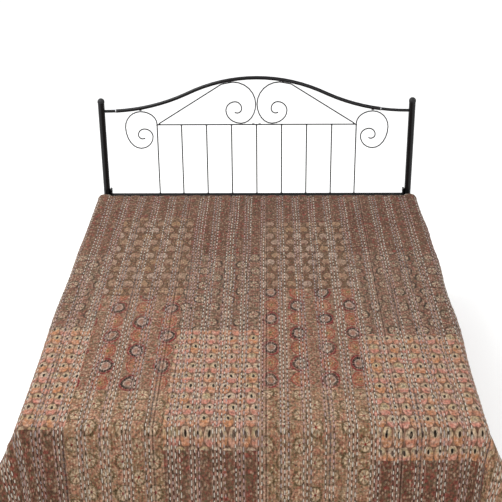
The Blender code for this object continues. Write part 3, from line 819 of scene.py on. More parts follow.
def acorn_print():
    """Rows of drops, pale tan above and pink below, in a dark outline, each with one black eye."""
    recipe = Recipe("print_acorn")
    place, u, v = flat_cloth(recipe, 0.002)
    x, y, chance = cells(recipe, u, v, *DROP_CELL)
    other = recipe.maths("FRACT", recipe.times(chance, 7.3))
    top = recipe.mix(chance, paint(176, 150, 108), paint(196, 168, 144))
    low = recipe.mix(recipe.step(other, 0.2, 0.9), paint(200, 130, 112), paint(192, 130, 88))
    body = recipe.mix(recipe.step(recipe.plus(y, recipe.times(other, 0.012)), -0.008, 0.016), top, low)
    rubbed = recipe.step(recipe.noise(place, 55.0, 2.0), 0.42, 0.70, 0.0, 0.5)
    body = recipe.over(body, rubbed, (222, 192, 172))
    ground = recipe.mix(recipe.noise(place, 90.0), paint(106, 74, 56), paint(140, 104, 84))
    colour = recipe.over(ground, inside(recipe, oval(recipe, x, y, *DROP_SIZE), 0.94, 0.06), body)
    halo = inside(recipe, oval(recipe, x, y, 0.0095, 0.0160, EYE_HEIGHT), 0.9, 0.3)
    colour = recipe.over(colour, halo, (204, 190, 160), 0.5)
    eye = inside(recipe, oval(recipe, x, y, 0.0047, 0.0110, EYE_HEIGHT), 0.95, 0.18)
    colour = recipe.over(colour, recipe.times(eye, recipe.step(chance, 0.04, 0.10, 0.4, 1.0)), (10, 7, 6))
    return finish_cotton(recipe, place, colour, 0.18)


keep_print("acorn", acorn_print())

# %% [markdown]
# The next print has large ovals in columns: a ring of black beads inside a red one. Between them lie
# rosettes of thin red rings, over a ground crowded with fine coloured lines.

# %% Ring print
RING_CELL = (0.103, 0.218)
RING_SIZE = (0.0215, 0.0345)
ROSETTE_SIZE = (0.027, 0.043)


def ring_print():
    """Columns of black beaded ovals inside red ones, with rosettes of thin rings halfway between."""
    recipe = Recipe("print_ring")
    place, u, v = flat_cloth(recipe, 0.003)
    x, y, chance = cells(recipe, u, v, *RING_CELL, by_column=True)
    colour = recipe.mix(recipe.noise(place, 60.0), paint(124, 98, 74), paint(154, 114, 92))
    for scale, lines, width, ink, share in ((24.0, 6.0, 0.22, (156, 68, 56), 0.75),
                                            (29.0, 5.5, 0.20, (88, 84, 56), 0.75),
                                            (26.0, 5.0, 0.14, (214, 184, 160), 0.6)):
        colour = recipe.over(colour, scribble(recipe, place, scale, lines, width), ink, share)

    rosette = oval(recipe, x, recipe.minus(recipe.maths("ABSOLUTE", y), RING_CELL[1] / 2), *ROSETTE_SIZE)
    fill = recipe.mix(recipe.step(rosette, 0.2, 1.0), paint(178, 150, 92), paint(180, 124, 96))
    colour = recipe.over(colour, inside(recipe, rosette, 1.0, 0.2), fill, 0.5)
    for middle, share in ((0.40, 0.7), (0.72, 0.6), (1.02, 0.9)):
        colour = recipe.over(colour, band(recipe, rosette, middle, 0.11), (158, 58, 44), share)
    colour = recipe.over(colour, inside(recipe, rosette, 0.14, 0.05), (84, 70, 34))

    ring = oval(recipe, x, y, *RING_SIZE)
    core = recipe.mix(chance, paint(150, 122, 100), paint(178, 146, 132))
    colour = recipe.over(colour, inside(recipe, ring, 1.0, 0.06), core, 0.7)
    colour = recipe.over(colour, inside(recipe, ring, 0.36, 0.14), (158, 100, 80), 0.6)
    for middle, width, ink, share in ((0.74, 0.12, (220, 200, 186), 0.6),
                                      (1.40, 0.20, (124, 28, 36), 0.95),
                                      (1.20, 0.10, (200, 140, 120), 0.6)):
        colour = recipe.over(colour, band(recipe, ring, middle, width), ink, share)
    beads = recipe.step(petals(recipe, x, y, 15.0, 0.64), 0.0, 0.35, 0.6, 1.0)
    black = recipe.times(recipe.times(band(recipe, ring, 1.0, 0.32), beads),
                         recipe.step(chance, 0.0, 0.5, 0.75, 1.0))
    return finish_cotton(recipe, place, recipe.over(colour, black, (24, 8, 10)), 0.28)


keep_print("ring", ring_print())

# %% [markdown]
# Medallions are ovals with a beaded outline, seven pale petals and a red middle. The same block was
# printed in two sets of inks, so one recipe takes its colours as values and makes both prints.

# %% Medallion print
MEDALLION_CELL = (0.106, 0.0628)
MEDALLION_SIZE = (0.0208, 0.0305)
MEDALLION_SQUEEZE = 0.67


def medallion_print(name, dark, light, petal, outline_ink, strength):
    """Half-shifted oval medallions: a beaded outline, pale petals and a red middle."""
    recipe = Recipe(name)
    place, u, v = flat_cloth(recipe)
    x, y, chance = cells(recipe, u, v, *MEDALLION_CELL)
    ground = recipe.mix(recipe.step(recipe.noise(place, 20.0, 2.0), 0.35, 0.65), paint(*dark), paint(*light))
    dots, kind = specks(recipe, place, 85.0, 0.34)
    dot_tone = recipe.mix(recipe.step(kind, 0.45, 0.55), paint(98, 92, 70), paint(*petal))
    colour = recipe.over(ground, dots, dot_tone, 0.7)
    colour = recipe.over(colour, scribble(recipe, place, 26.0, 5.5, 0.2), (152, 82, 68), 0.6)
    radius = oval(recipe, x, y, *MEDALLION_SIZE)
    show = recipe.step(chance, 0.0, 0.5, 0.55 * strength, strength)
    colour = recipe.over(colour, inside(recipe, radius, 1.0, 0.06), dark, 0.6)
    wave = petals(recipe, x, y, 7.0, MEDALLION_SQUEEZE)
    leaf = recipe.times(inside(recipe, radius, 0.78), recipe.step(wave, 0.25, 0.65))
    rim = recipe.times(band(recipe, radius, 0.86, 0.11), 0.6)
    for form in (leaf, rim):
        colour = recipe.over(colour, recipe.times(form, show), petal)
    beads = recipe.step(petals(recipe, x, y, 18.0, MEDALLION_SQUEEZE), 0.05, 0.5, 0.6, 1.0)
    beads = recipe.times(beads, recipe.step(chance, 0.0, 0.5, 0.65, 1.0))
    colour = recipe.over(colour, recipe.times(band(recipe, radius, 1.06, 0.28), beads), outline_ink)
    colour = recipe.over(colour, inside(recipe, radius, 0.20, 0.07), (122, 36, 32))
    return finish_cotton(recipe, place, colour, 0.34)


keep_print("medallion", medallion_print("print_medallion", (110, 90, 70), (140, 98, 82), (198, 172, 146),
                                        (48, 38, 30), 1.0))
keep_print("golden", medallion_print("print_golden", (146, 116, 84), (180, 134, 106), (216, 192, 160),
                                     (98, 78, 50), 0.85))

# %% [markdown]
# The lotus is a tall disc that opens upwards like a fan. Its ribs follow the angle about a point near
# its foot, and a dark notch there stands for the stalk.

# %% Lotus print
FAN_CELL = (0.061, 0.0665)
FAN_SIZE = (0.0222, 0.0315)


def lotus_print():
    """Half-shifted fans: a tall tan disc with ribs that open upwards and a notch below, on brown."""
    recipe = Recipe("print_lotus")
    place, u, v = flat_cloth(recipe)
    x, y, chance = cells(recipe, u, v, *FAN_CELL)
    other = recipe.maths("FRACT", recipe.times(chance, 5.7))
    ground = recipe.mix(recipe.noise(place, 45.0), paint(98, 70, 50), paint(126, 94, 68))
    radius = oval(recipe, x, y, *FAN_SIZE)
    tan = recipe.mix(chance, paint(168, 136, 116), paint(164, 128, 94))
    tan = recipe.over(tan, recipe.step(other, 0.55, 0.95), (182, 156, 138))
    colour = recipe.over(ground, inside(recipe, radius, 0.98, 0.09), tan)
    colour = recipe.over(colour, band(recipe, radius, 1.02, 0.14), (84, 58, 42), 0.7)
    angle = recipe.maths("ARCTAN2", x, recipe.minus(0.028, y))
    ribs = recipe.maths("ABSOLUTE", recipe.maths("SINE", recipe.times(angle, 7.0)))
    ribs = recipe.times(recipe.step(ribs, 0.0, 0.4, 1.0, 0.0), inside(recipe, radius, 0.88))
    colour = recipe.over(colour, ribs, (116, 82, 64), 0.6)
    notch = inside(recipe, oval(recipe, x, y, 0.009, 0.011, 0.021), 0.9, 0.25)
    colour = recipe.over(colour, notch, (108, 68, 52), 0.85)
    return finish_cotton(recipe, place, colour, 0.30)


keep_print("lotus", lotus_print())

# %% [markdown]
# The sprig print is the darkest and comes first in every column: small red flowers and olive leaves
# that are scattered and not in rows, so it takes specks and thin lines and no cells.

# %% Sprig print


def sprig_print():
    """Small red flowers and olive leaves over a reddish brown ground."""
    recipe = Recipe("print_sprig")
    place = recipe.place("print")
    colour = recipe.mix(recipe.noise(place, 22.0, 3.0), paint(88, 56, 42), paint(122, 84, 64))
    leaves, kind = specks(recipe, place, 58.0, 0.34)
    leaf_tone = recipe.mix(recipe.step(kind, 0.4, 0.6), paint(98, 92, 66), paint(150, 124, 100))
    colour = recipe.over(colour, leaves, leaf_tone, 0.7)
    flowers, other = specks(recipe, place, 26.0, 0.30)
    blooms = recipe.times(flowers, recipe.step(other, 0.35, 0.6, 0.1, 0.6))
    colour = recipe.over(colour, blooms, (152, 58, 54))
    colour = recipe.over(colour, scribble(recipe, place, 19.0, 8.0, 0.14), (76, 60, 52), 0.4)
    colour = recipe.over(colour, scribble(recipe, place, 27.0, 6.0, 0.11), (164, 92, 76), 0.35)
    return finish_cotton(recipe, place, colour, 0.40)


keep_print("sprig", sprig_print())

# %% [markdown]
# ## The quilt
# The face is a fine grid of the drape plus the quilting relief. Its lines are closer together on the
# stitching and fall exactly on the seams of the patches. The back is the same drape half a
# thickness the other way on a coarser grid, and a rim of faces joins the two.

# %% Quilt lines
LENGTHWAYS_STEP = 0.0092
BACK_STEP = 8
LINES_IN_GROUP = (-0.0192, -0.0128, -0.0064, 0.0, 0.0064, 0.0128, 0.0192)
LINES_IN_BAND = (-0.0275, 0.0275)
CLOSEST = 0.0024


def spaced(places, needed):
    """Sorted places with the needed ones put in and others that lie too close to those taken out."""
    needed = np.array(sorted(needed))
    apart = np.min(np.abs(places[:, None] - needed[None, :]), axis=1)
    return np.sort(np.concatenate([places[apart > CLOSEST], needed]))


def quilt_lines():
    """Flat places of the face's lines across and along the cloth."""
    half = QUILT_WIDTH / 2
    middles = -half + GROUP_PITCH * np.arange(BAND_COUNT + 1)
    across = (middles[:, None] + np.array([*LINES_IN_GROUP, *LINES_IN_BAND, GROUP_PITCH / 2])).ravel()
    across = across[(across > -half + CLOSEST) & (across < half - CLOSEST)]
    bends = SIDE_BEND_START + BEND_ARC * np.arange(6) / 5
    needed = [-half, half, *(-bends), *bends, *COLUMN_EDGES]
    across = spaced(across, needed)
    steps = round(QUILT_LENGTH / LENGTHWAYS_STEP)
    along = np.linspace(0, QUILT_LENGTH, steps + 1)
    ends = sorted({end for patches in COLUMNS for name, end in patches})
    foot_bends = FOOT_BEND_START + BEND_ARC * np.arange(6) / 5
    along = spaced(along, [0.0, HEAD_TURN, *foot_bends, *ends])
    return across, along


lines_across, lines_along = quilt_lines()
print("quilt lines:", len(lines_across), "across and", len(lines_along), "along")

# %% [markdown]
# The lines make a grid of flat places, and the drape lifts each of them to its place on the bed. Every
# face takes the print of its patch, and two maps keep the flat metres for prints and stitching.

# %% Quilt mesh


def make_quilt():
    """The quilt as one closed sheet, with a print for each patch and two maps of its flat places."""
    u, v = np.meshgrid(lines_across, lines_along, indexing="ij")
    face = face_point(u, v)
    keep = np.unique(np.concatenate([
        np.arange(0, len(lines_along), BACK_STEP), [len(lines_along) - 1],
        np.flatnonzero((lines_along < HEAD_TURN + 0.001)
                       | (np.abs(lines_along - FOOT_BEND_START - BEND_ARC / 2) < BEND_ARC / 2 + 0.001))]))
    back_u, back_v = np.meshgrid(lines_across, lines_along[keep], indexing="ij")
    back = drape(back_u, back_v) - drape_normal(back_u, back_v) * QUILT_THICKNESS / 2
    rows, columns = u.shape
    back_columns = len(keep)
    face_quads = grid_faces(rows, columns)
    back_quads = grid_faces(rows, back_columns)[:, ::-1] + rows * columns
    top = np.arange(rows * columns).reshape(rows, columns)
    under = rows * columns + np.arange(rows * back_columns).reshape(rows, back_columns)

    rim = []
    for column, way in ((0, 1), (-1, -1)):
        near, far = top[:, column], under[:, column]
        rim += [[near[i], near[i + 1], far[i + 1], far[i]][::way] for i in range(rows - 1)]
    for row, way in ((0, -1), (-1, 1)):
        for i in range(back_columns - 1):
            edge = top[row, keep[i]:keep[i + 1] + 1]
            rim.append([*edge, under[row, i + 1], under[row, i]][::way])
    middle_u = (u[:-1, :-1] + u[1:, 1:]) / 2
    middle_v = (v[:-1, :-1] + v[1:, 1:]) / 2
    numbers = print_numbers(middle_u, middle_v).ravel()
    back_numbers = np.full(len(back_quads) + len(rim), PRINTS.index("sprig"))
    faces = [*face_quads.tolist(), *back_quads.tolist(), *[[int(i) for i in face] for face in rim]]
    quilt = add_mesh("quilt_cloth", np.concatenate([face.reshape(-1, 3), back.reshape(-1, 3)]), faces,
                     [prints[name] for name in PRINTS])
    mesh = quilt.data
    mesh.polygons.foreach_set("material_index", np.concatenate([numbers, back_numbers]))
    flat = np.concatenate([np.stack(pair, -1).reshape(-1, 2) for pair in ((u, v), (back_u, back_v))])
    corner_points = np.empty(len(mesh.loops), dtype=np.int32)
    mesh.loops.foreach_get("vertex_index", corner_points)
    on_print = flat[corner_points]
    on_print[:4 * len(face_quads)] -= np.repeat(print_shifts(middle_u, middle_v).reshape(-1, 2), 4, axis=0)
    for name, places in (("flat", flat[corner_points]), ("print", on_print)):
        layer = mesh.uv_layers.new(name=name)
        layer.uv.foreach_set("vector", places.astype(np.float32).ravel())
    mesh.update()
    return quilt


quilt = make_quilt()
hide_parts("quilt")
quilt.data.calc_loop_triangles()
print("quilt:", len(quilt.data.loop_triangles), "triangles")

# %% [markdown]
# ## Running stitch
# The thread is what makes the cloth a kantha: two to four lines in each group, with stitches longer
# than the gaps between them and none of them quite even. One stitch is a short bead that dips into the
# cloth at both ends. All stitches of one thread are one mesh, placed as whole arrays on the face.

# %% Stitches
THREADS = (
    # name, colour, share of the lines at the head, share at the foot
    ("thread_cream", (250, 237, 218), 0.38, 0.66),
    ("thread_grey", (204, 186, 180), 0.37, 0.13),
    ("thread_pink", (226, 186, 178), 0.21, 0.18),
    ("thread_dark", (116, 94, 88), 0.04, 0.03),
)
STITCH_HALF_LENGTH = 0.0098
STITCH_SHARES = (0.62, 0.92)
PITCH_SPREAD = 0.18
THREAD_HALF_WIDTH = 0.0019
THREAD_RISE = 0.0014
HEM_INSET = 0.008
THREAD_RUN = 0.42
LINE_COUNTS = (2, 3, 4)
LINE_CHANCES = (0.1, 0.75, 0.15)


def thread_material(name, colour):
    """Twisted cotton thread: a slightly uneven colour with fine diagonal bumps."""
    recipe = Recipe(name)
    place = recipe.place()
    patch = recipe.noise(place, 40.0, 2.0)
    tone = recipe.mix(patch, paint(*[0.86 * part for part in colour]), paint(*colour))
    twist = recipe.node("TexWave", wave_type="BANDS", bands_direction="DIAGONAL")
    recipe.set(twist.inputs["Vector"], place)
    twist.inputs["Scale"].default_value = 900.0
    return recipe.finish(tone, 0.8, recipe.bump(twist.outputs["Fac"], 0.0002, 0.5), Sheen_Weight=0.2)


def stitch_lines(random):
    """Group number and offset from the group's middle of every line of stitches."""
    rows = []
    for group in range(BAND_COUNT + 1):
        for number in range(int(random.choice(LINE_COUNTS, p=LINE_CHANCES))):
            rows.append((group, (number - 1) * LINE_STEP + random.normal(0, 0.0005)))
    return rows


def stitch_places(random):
    """Flat u and v, half length and a one where it runs along v, for every stitch of each thread.

    A needle takes about a forearm of thread, so each line changes its thread a few times. Which
    thread comes next is a draw against the shares, which change evenly from the head to the foot.
    """
    names = [row[0] for row in THREADS]
    places = {name: [] for name in names}
    half = QUILT_WIDTH / 2
    runs = math.ceil(QUILT_LENGTH / THREAD_RUN) + 1
    down = np.linspace(0, 1, runs)[:, None]
    head, foot = (np.array([row[column] for row in THREADS]) for column in (2, 3))
    limits = np.cumsum(head + (foot - head) * down, axis=1)[:, :-1]
    for group, offset in stitch_lines(random):
        count = math.ceil(1.3 * QUILT_LENGTH / STITCH_PITCH)
        steps = STITCH_PITCH * np.clip(random.normal(1.0, PITCH_SPREAD, count), 0.55, 1.6)
        v = HEM_INSET + random.uniform(0, STITCH_PITCH) + np.cumsum(steps)
        room = np.minimum(steps, np.append(steps[1:], STITCH_PITCH))[v < QUILT_LENGTH - HEM_INSET]
        v = v[v < QUILT_LENGTH - HEM_INSET]
        u = -half + group * GROUP_PITCH + offset + wander(v, group, 0.0016) + random.normal(0, 0.0003, len(v))
        length = room / 2 * random.uniform(*STITCH_SHARES, len(v))
        run = ((v + random.uniform(0, THREAD_RUN)) / THREAD_RUN).astype(int)
        thread = np.sum(random.random((runs, 1)) > limits, axis=1)[run]
        inner = np.abs(u) < half - 1.6 * HEM_INSET
        rows = np.stack([u, v, length, np.ones(len(v))], axis=1)
        for number, name in enumerate(names):
            places[name].append(rows[inner & (thread == number)])
    for end in (HEM_INSET, QUILT_LENGTH - HEM_INSET):
        u = np.arange(-half + 2 * HEM_INSET, half - 2 * HEM_INSET, STITCH_PITCH)
        places["thread_cream"].append(np.stack(
            [u, np.full(len(u), end), np.full(len(u), STITCH_HALF_LENGTH), np.zeros(len(u))], axis=1))
    for edge in (HEM_INSET - half, half - HEM_INSET):
        v = np.arange(2 * HEM_INSET, QUILT_LENGTH - 2 * HEM_INSET, STITCH_PITCH)
        places["thread_cream"].append(np.stack(
            [np.full(len(v), edge), v, np.full(len(v), STITCH_HALF_LENGTH), np.ones(len(v))], axis=1))
    return {name: np.concatenate(rows) for name, rows in places.items()}


def bead_shape():
    """One stitch: a tip, two rings of four points and a tip, as shares of half length, width and rise."""
    ring = ((-1.0, 0.0), (-0.6, 0.9), (0.6, 0.9), (1.0, 0.0))
    middle = [(along, width, rise) for along in (-0.5, 0.5) for width, rise in ring]
    points = [(-1.0, 0.0, -0.4), *middle, (1.0, 0.0, -0.4)]
    triangles = [(0, 2, 1), (0, 3, 2), (0, 4, 3), (0, 1, 4), (9, 5, 6), (9, 6, 7), (9, 7, 8), (9, 8, 5)]
    quads = [(1, 2, 6, 5), (2, 3, 7, 6), (3, 4, 8, 7), (4, 1, 5, 8)]
    return np.array(points), np.array(triangles), np.array(quads)


def add_beads(name, rows, material):
    """Every stitch of one thread: the bead's points carried to each place along its own directions."""
    u, v, half_length, along_v = rows.T
    middle = face_point(u, v)
    normal = drape_normal(u, v)
    step = 0.001
    along = np.where(along_v[:, None] > 0.5, drape(u, v + step) - drape(u, v - step),
                     drape(u + step, v) - drape(u - step, v))
    along = unit(along - normal * np.sum(along * normal, axis=-1, keepdims=True))
    aside = np.cross(normal, along)
    shape, triangles, quads = bead_shape()
    points = (middle[:, None] + shape[None, :, 0:1] * half_length[:, None, None] * along[:, None]
              + shape[None, :, 1:2] * THREAD_HALF_WIDTH * aside[:, None]
              + shape[None, :, 2:3] * THREAD_RISE * normal[:, None])
    offsets = np.arange(len(u))[:, None, None] * len(shape)
    faces = (triangles[None] + offsets).reshape(-1, 3).tolist()
    faces += (quads[None] + offsets).reshape(-1, 4).tolist()
    return add_mesh(name, points, faces, [material])


random = np.random.default_rng(7)
for (name, rows), row in zip(stitch_places(random).items(), THREADS):
    add_beads(f"stitches_{name}", rows, thread_material(name, row[1]))
    print(name, len(rows), "stitches")

# %% [markdown]
# ## Mattress
# Under the quilt lies a plain mattress, seen from behind and below. Its cover is a profile carried
# round a rounded rectangle: up the side, over the rim and in to the middle. The side swells a little
# between two piped seams, where the sewing gathers the ticking.

# %% Mattress
MATTRESS_HALF_WIDTH = 0.76
MATTRESS_HALF_LENGTH = 0.99
MATTRESS_THICKNESS = 0.20
MATTRESS_HEAD_Y = HEAD_EDGE_Y - 0.006
MATTRESS_MIDDLE = np.array([0.0, MATTRESS_HEAD_Y - MATTRESS_HALF_LENGTH,
                            MATTRESS_TOP - MATTRESS_THICKNESS / 2])
CORNER_ROUND = 0.06
EDGE_ROUND = 0.035
PIPING_RADIUS = 0.0045
TICKING_GIVE = 0.004
GATHER_LENGTH = 0.031
GATHER_RISE = 0.0006
GATHER_FROM = 0.03
OUTLINE_STEPS = 420
PANEL_SIZES = (0.97, 0.85, 0.6, 0.3, 0.02)


def outline(around):
    """Point and outward normal of the mattress's plan: a rounded rectangle from a share of its length.

    Four straight sides and four quarter circles are walked in turn at a steady pace.
    """
    half = np.array([MATTRESS_HALF_WIDTH, MATTRESS_HALF_LENGTH]) - CORNER_ROUND
    sides = [2 * half[1], 2 * half[0], 2 * half[1], 2 * half[0]]
    arc = CORNER_ROUND * math.pi / 2
    starts = np.cumsum([0.0] + [side + arc for side in sides])
    distance = (around % 1.0) * starts[-1]
    side = np.clip(np.searchsorted(starts, distance, side="right") - 1, 0, 3)
    into = distance - starts[side]
    length = np.array(sides)[side]
    turn = side * math.pi / 2 + np.clip(into - length, 0, arc) / CORNER_ROUND
    normal = np.stack([np.cos(turn), np.sin(turn)], axis=-1)
    corner = np.array([(1, 1), (-1, 1), (-1, -1), (1, -1)])[side] * half
    back = np.maximum(length - into, 0.0)[..., None]
    first = side * math.pi / 2
    forward = np.stack([-np.sin(first), np.cos(first)], axis=-1)
    return corner + CORNER_ROUND * normal - forward * back, normal


def ticking_material():
    """Off-white herringbone ticking: two slanted waves that change over in stripes, as a bump."""
    recipe = Recipe("cotton_ticking")
    place = recipe.place()
    patch = recipe.noise(place, 5.0, 3.0)
    tone = recipe.mix(patch, paint(206, 198, 182), paint(228, 221, 207))
    split = recipe.node("SeparateXYZ")
    recipe.set(split.inputs[0], place)
    stripe = recipe.maths("PINGPONG", split.outputs["X"], 0.006)
    rise = recipe.plus(recipe.plus(split.outputs["Z"], split.outputs["Y"]), stripe)
    twill = recipe.maths("SINE", recipe.times(rise, 2600.0))
    threads = recipe.noise(place, 900.0, 1.0)
    colour = recipe.mix(recipe.step(twill, -0.6, 0.8, 0.0, 0.25), tone, paint(176, 168, 152))
    normal = recipe.bump(recipe.plus(twill, threads), 0.0003, 0.6)
    return recipe.finish(colour, 0.9, normal, Sheen_Weight=0.2)


def make_mattress(material):
    """Cover of the mattress: rows of inset and height from the middle below to the middle on top."""
    count = OUTLINE_STEPS
    around = np.arange(count) / count
    edge, normal = outline(around)
    length = 4 * (MATTRESS_HALF_WIDTH + MATTRESS_HALF_LENGTH)
    half_height = MATTRESS_THICKNESS / 2
    rim = [(EDGE_ROUND * (1 - math.sin(turn)), half_height - EDGE_ROUND * (1 - math.cos(turn)))
           for turn in np.linspace(0, math.pi / 2, 7)]
    sides = [(0.0, height) for height in np.linspace(half_height - EDGE_ROUND, 0, 5)[1:]]
    upper = rim + sides
    profile = upper + [(inset, -height) for inset, height in upper[-2::-1]]
    gather = np.sin(2 * math.pi * around * round(length / GATHER_LENGTH) + 2.0 * np.sin(37.0 * around))
    rings = []
    for inset, height in profile:
        share = 1 - (height / half_height) ** 2
        swell = TICKING_GIVE * (share - 1) + GATHER_RISE * gather * share * (abs(height) > GATHER_FROM)
        place = edge + normal * (swell - inset)[:, None]
        rings.append(np.column_stack([place, np.full(count, height)]))
    for end, height in ((0, half_height), (-1, -half_height)):
        inner = [np.column_stack([rings[end][:, :2] * size, np.full(count, height)])
                 for size in PANEL_SIZES]
        rings = inner[::-1] + rings if end == 0 else rings + inner
    points = np.array(rings) + MATTRESS_MIDDLE
    faces = grid_faces(len(rings), count, wrap_columns=True)[:, ::-1].tolist()
    last = (len(rings) - 1) * count
    faces += [list(range(count)), list(range(last, last + count))[::-1]]
    return add_mesh("mattress_cover", points, faces, [material])


def add_piping(name, height, material):
    """A round cord in its own fabric, carried round the outline at one height."""
    count = OUTLINE_STEPS
    around = np.arange(count) / count
    edge, normal = outline(around)
    inset = EDGE_ROUND * (1 - math.sin(math.pi / 4)) + TICKING_GIVE * 0.5
    angles = np.linspace(0, 2 * math.pi, 8, endpoint=False)
    out = (np.cos(angles) * PIPING_RADIUS - inset)[:, None, None]
    place = edge[None] + normal[None] * out
    heights = np.broadcast_to((height + np.sin(angles) * PIPING_RADIUS)[:, None, None], (8, count, 1))
    points = np.concatenate([place, heights], axis=-1) + MATTRESS_MIDDLE
    faces = grid_faces(8, count, wrap_rows=True, wrap_columns=True)
    return add_mesh(name, points, faces, [material])


ticking = ticking_material()
mattress = make_mattress(ticking)
seam_height = MATTRESS_THICKNESS / 2 - EDGE_ROUND * (1 - math.cos(math.pi / 4))
piping = [add_piping("piping_top", seam_height, ticking), add_piping("piping_below", -seam_height, ticking)]
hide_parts("mattress")
print("mattress cover:", len(mattress.data.vertices), "points")

# %% [markdown]
# ## Steel
# The bed is steel tube with a black powder coat: a fine orange-peel skin with a satin gloss and a
# trace of dust. The tubes keep the solids' own meshes and only their finish changes.

# %% Steel finish


def steel_coat():
    """Black powder coat: near black, satin, with an orange-peel bump and faint dust."""
    recipe = Recipe("black_powder_coat")
    place = recipe.place()
    peel = recipe.noise(place, 420.0, 2.0)
    dust = recipe.noise(place, 9.0, 3.0)
    tone = recipe.mix(recipe.step(dust, 0.45, 0.8, 0.0, 0.2), (0.005, 0.005, 0.0055), (0.016, 0.0155, 0.015))
    rough = recipe.maths("MULTIPLY_ADD", dust, 0.16, 0.16)
    return recipe.finish(tone, rough, recipe.bump(peel, 0.0001, 0.35), Specular_IOR_Level=0.22)


def bare_steel():
    """Bright zinc: light grey metal with a fine brushed grain."""
    recipe = Recipe("bright_zinc")
    place = recipe.place()
    grain = recipe.noise(recipe.stretch(place, (300.0, 1800.0, 1800.0)), 1.0, 2.0)
    tone = recipe.mix(grain, (0.50, 0.50, 0.52), (0.68, 0.68, 0.69))
    rough = recipe.maths("MULTIPLY_ADD", grain, 0.2, 0.25)
    return recipe.finish(tone, rough, recipe.bump(grain, 0.0001, 0.4), Metallic=1.0)


def moulded_plastic():
    """Black moulded plastic: fine spark-eroded texture and a dull sheen."""
    recipe = Recipe("black_moulded_plastic")
    place = recipe.place()
    texture = recipe.noise(place, 1500.0, 1.0)
    cloud = recipe.noise(place, 30.0, 2.0)
    tone = recipe.mix(cloud, (0.008, 0.008, 0.0085), (0.016, 0.016, 0.0165))
    rough = recipe.maths("MULTIPLY_ADD", texture, 0.15, 0.42)
    return recipe.finish(tone, rough, recipe.bump(texture, 0.00015, 0.6), Specular_IOR_Level=0.3)


def slat_wood():
    """Pale laminated slat wood: rings of a stretched noise along the slat, with fine dark pores."""
    recipe = Recipe("slat_birch")
    place = recipe.place()
    long_grain = recipe.noise(recipe.stretch(place, (2.5, 60.0, 90.0)), 1.0, 4.0, 0.6)
    rings = recipe.maths("FRACT", recipe.times(long_grain, 7.0))
    pores = recipe.noise(recipe.stretch(place, (60.0, 1400.0, 1400.0)), 1.0, 2.0)
    tone = recipe.mix(recipe.step(rings, 0.0, 0.9), paint(214, 180, 134), paint(190, 150, 104))
    tone = recipe.mix(recipe.step(pores, 0.60, 0.72, 0.0, 0.5), tone, paint(138, 100, 66))
    rough = recipe.maths("MULTIPLY_ADD", pores, 0.2, 0.48)
    return recipe.finish(tone, rough, recipe.bump(pores, 0.0003, 0.5))


finishes = {"black_steel": steel_coat(), "black_plastic": moulded_plastic(), "slat_wood": slat_wood()}
for name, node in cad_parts.items():
    packed = node.data.materials[0].name.split(".")[0] if node.data.materials else ""
    if packed in finishes:
        node.data.materials[0] = finishes[packed]

# %% [markdown]
# ## Small steel parts
# The top rail is three lengths of tube with a bright ring at each joint. Thin rods and scrolls are
# welded where they touch, and a screw head holds each bracket. A weld is a small lumpy bead, and all
# of them are one mesh.

# %% Rings, screws and welds
HEADBOARD_Y = HEAD_EDGE_Y + 0.045
RAIL_CROWN = 0.571
RAIL_END = 0.409
CROWN_BEND = 0.745
LEVEL_FROM = 0.715
RAIL_RADIUS = 0.0088
WIRE_RADIUS = 0.003
BAR_HEIGHT = 0.3405
ROD_PITCH = 0.12
JOINTS = (-0.670, 0.590)
RING_HALF_WIDTH = 0.0016
RING_RISE = 0.0006
POST_PLACE = 0.739
POST_RADIUS = 0.016
BRACKET_REACH = 0.010
SCREW_PROFILE = ((0.0005, 0.0), (0.0055, 0.0), (0.0052, -0.0016), (0.0038, -0.0026), (0.0005, -0.0030))
LAST_ROD = 0.477
CROSS_DROP = 0.014
SCROLL_TOPS = (0.125, 0.5535)
SCROLL_SEATS = (0.4665, 0.015)
WELD_RINGS = 7
WELD_SIDES = 12
WELD_HALF_DEPTH = 0.0042
WELDS = {
    # half width, half height
    "cross rail": (0.0052, 0.0028),
    "bar": (0.0042, 0.0024),
    "top rail": (0.0075, 0.0026),
    "seat": (0.0065, 0.0024),
}


def rail_height(x):
    """Height of the top rail's axis above the quilt: a round crown and a hollow bend at each side."""
    slope = 2 * math.atan((RAIL_CROWN - RAIL_END) / LEVEL_FROM)
    hollow = LEVEL_FROM / math.sin(slope) - CROWN_BEND
    place = np.minimum(np.abs(x), LEVEL_FROM)
    crown = RAIL_CROWN - CROWN_BEND + np.sqrt(np.maximum(CROWN_BEND ** 2 - place ** 2, 0.0))
    bend = RAIL_END + hollow - np.sqrt(hollow ** 2 - (LEVEL_FROM - place) ** 2)
    return np.where(place < CROWN_BEND * math.sin(slope), crown, bend)


def turned_rings(profile, middle, along, sides=24):
    """Points of a profile of radius and distance, turned round an axis through a middle."""
    along = unit(np.asarray(along, dtype=float))
    aside = unit(np.cross(along, [0.0, 1.0, 0.001]))
    third = np.cross(along, aside)
    angles = np.linspace(0, 2 * math.pi, sides, endpoint=False)
    radius, distance = np.array(profile).T
    wheel = np.cos(angles)[:, None] * aside + np.sin(angles)[:, None] * third
    return (np.asarray(middle) + radius[:, None, None] * wheel[None]
            + distance[:, None, None] * along)


def add_turned(name, profile, middle, along, material, sides=24):
    """A closed turned piece. Its profile starts and ends close to the axis."""
    points = turned_rings(profile, middle, along, sides)
    rows = len(profile)
    faces = grid_faces(rows, sides, wrap_columns=True).tolist()
    faces += [list(range(sides))[::-1], list(range((rows - 1) * sides, rows * sides))]
    piece = add_mesh(name, points, faces, [material])
    piece.data.set_sharp_from_angle(angle=math.radians(35))
    return piece


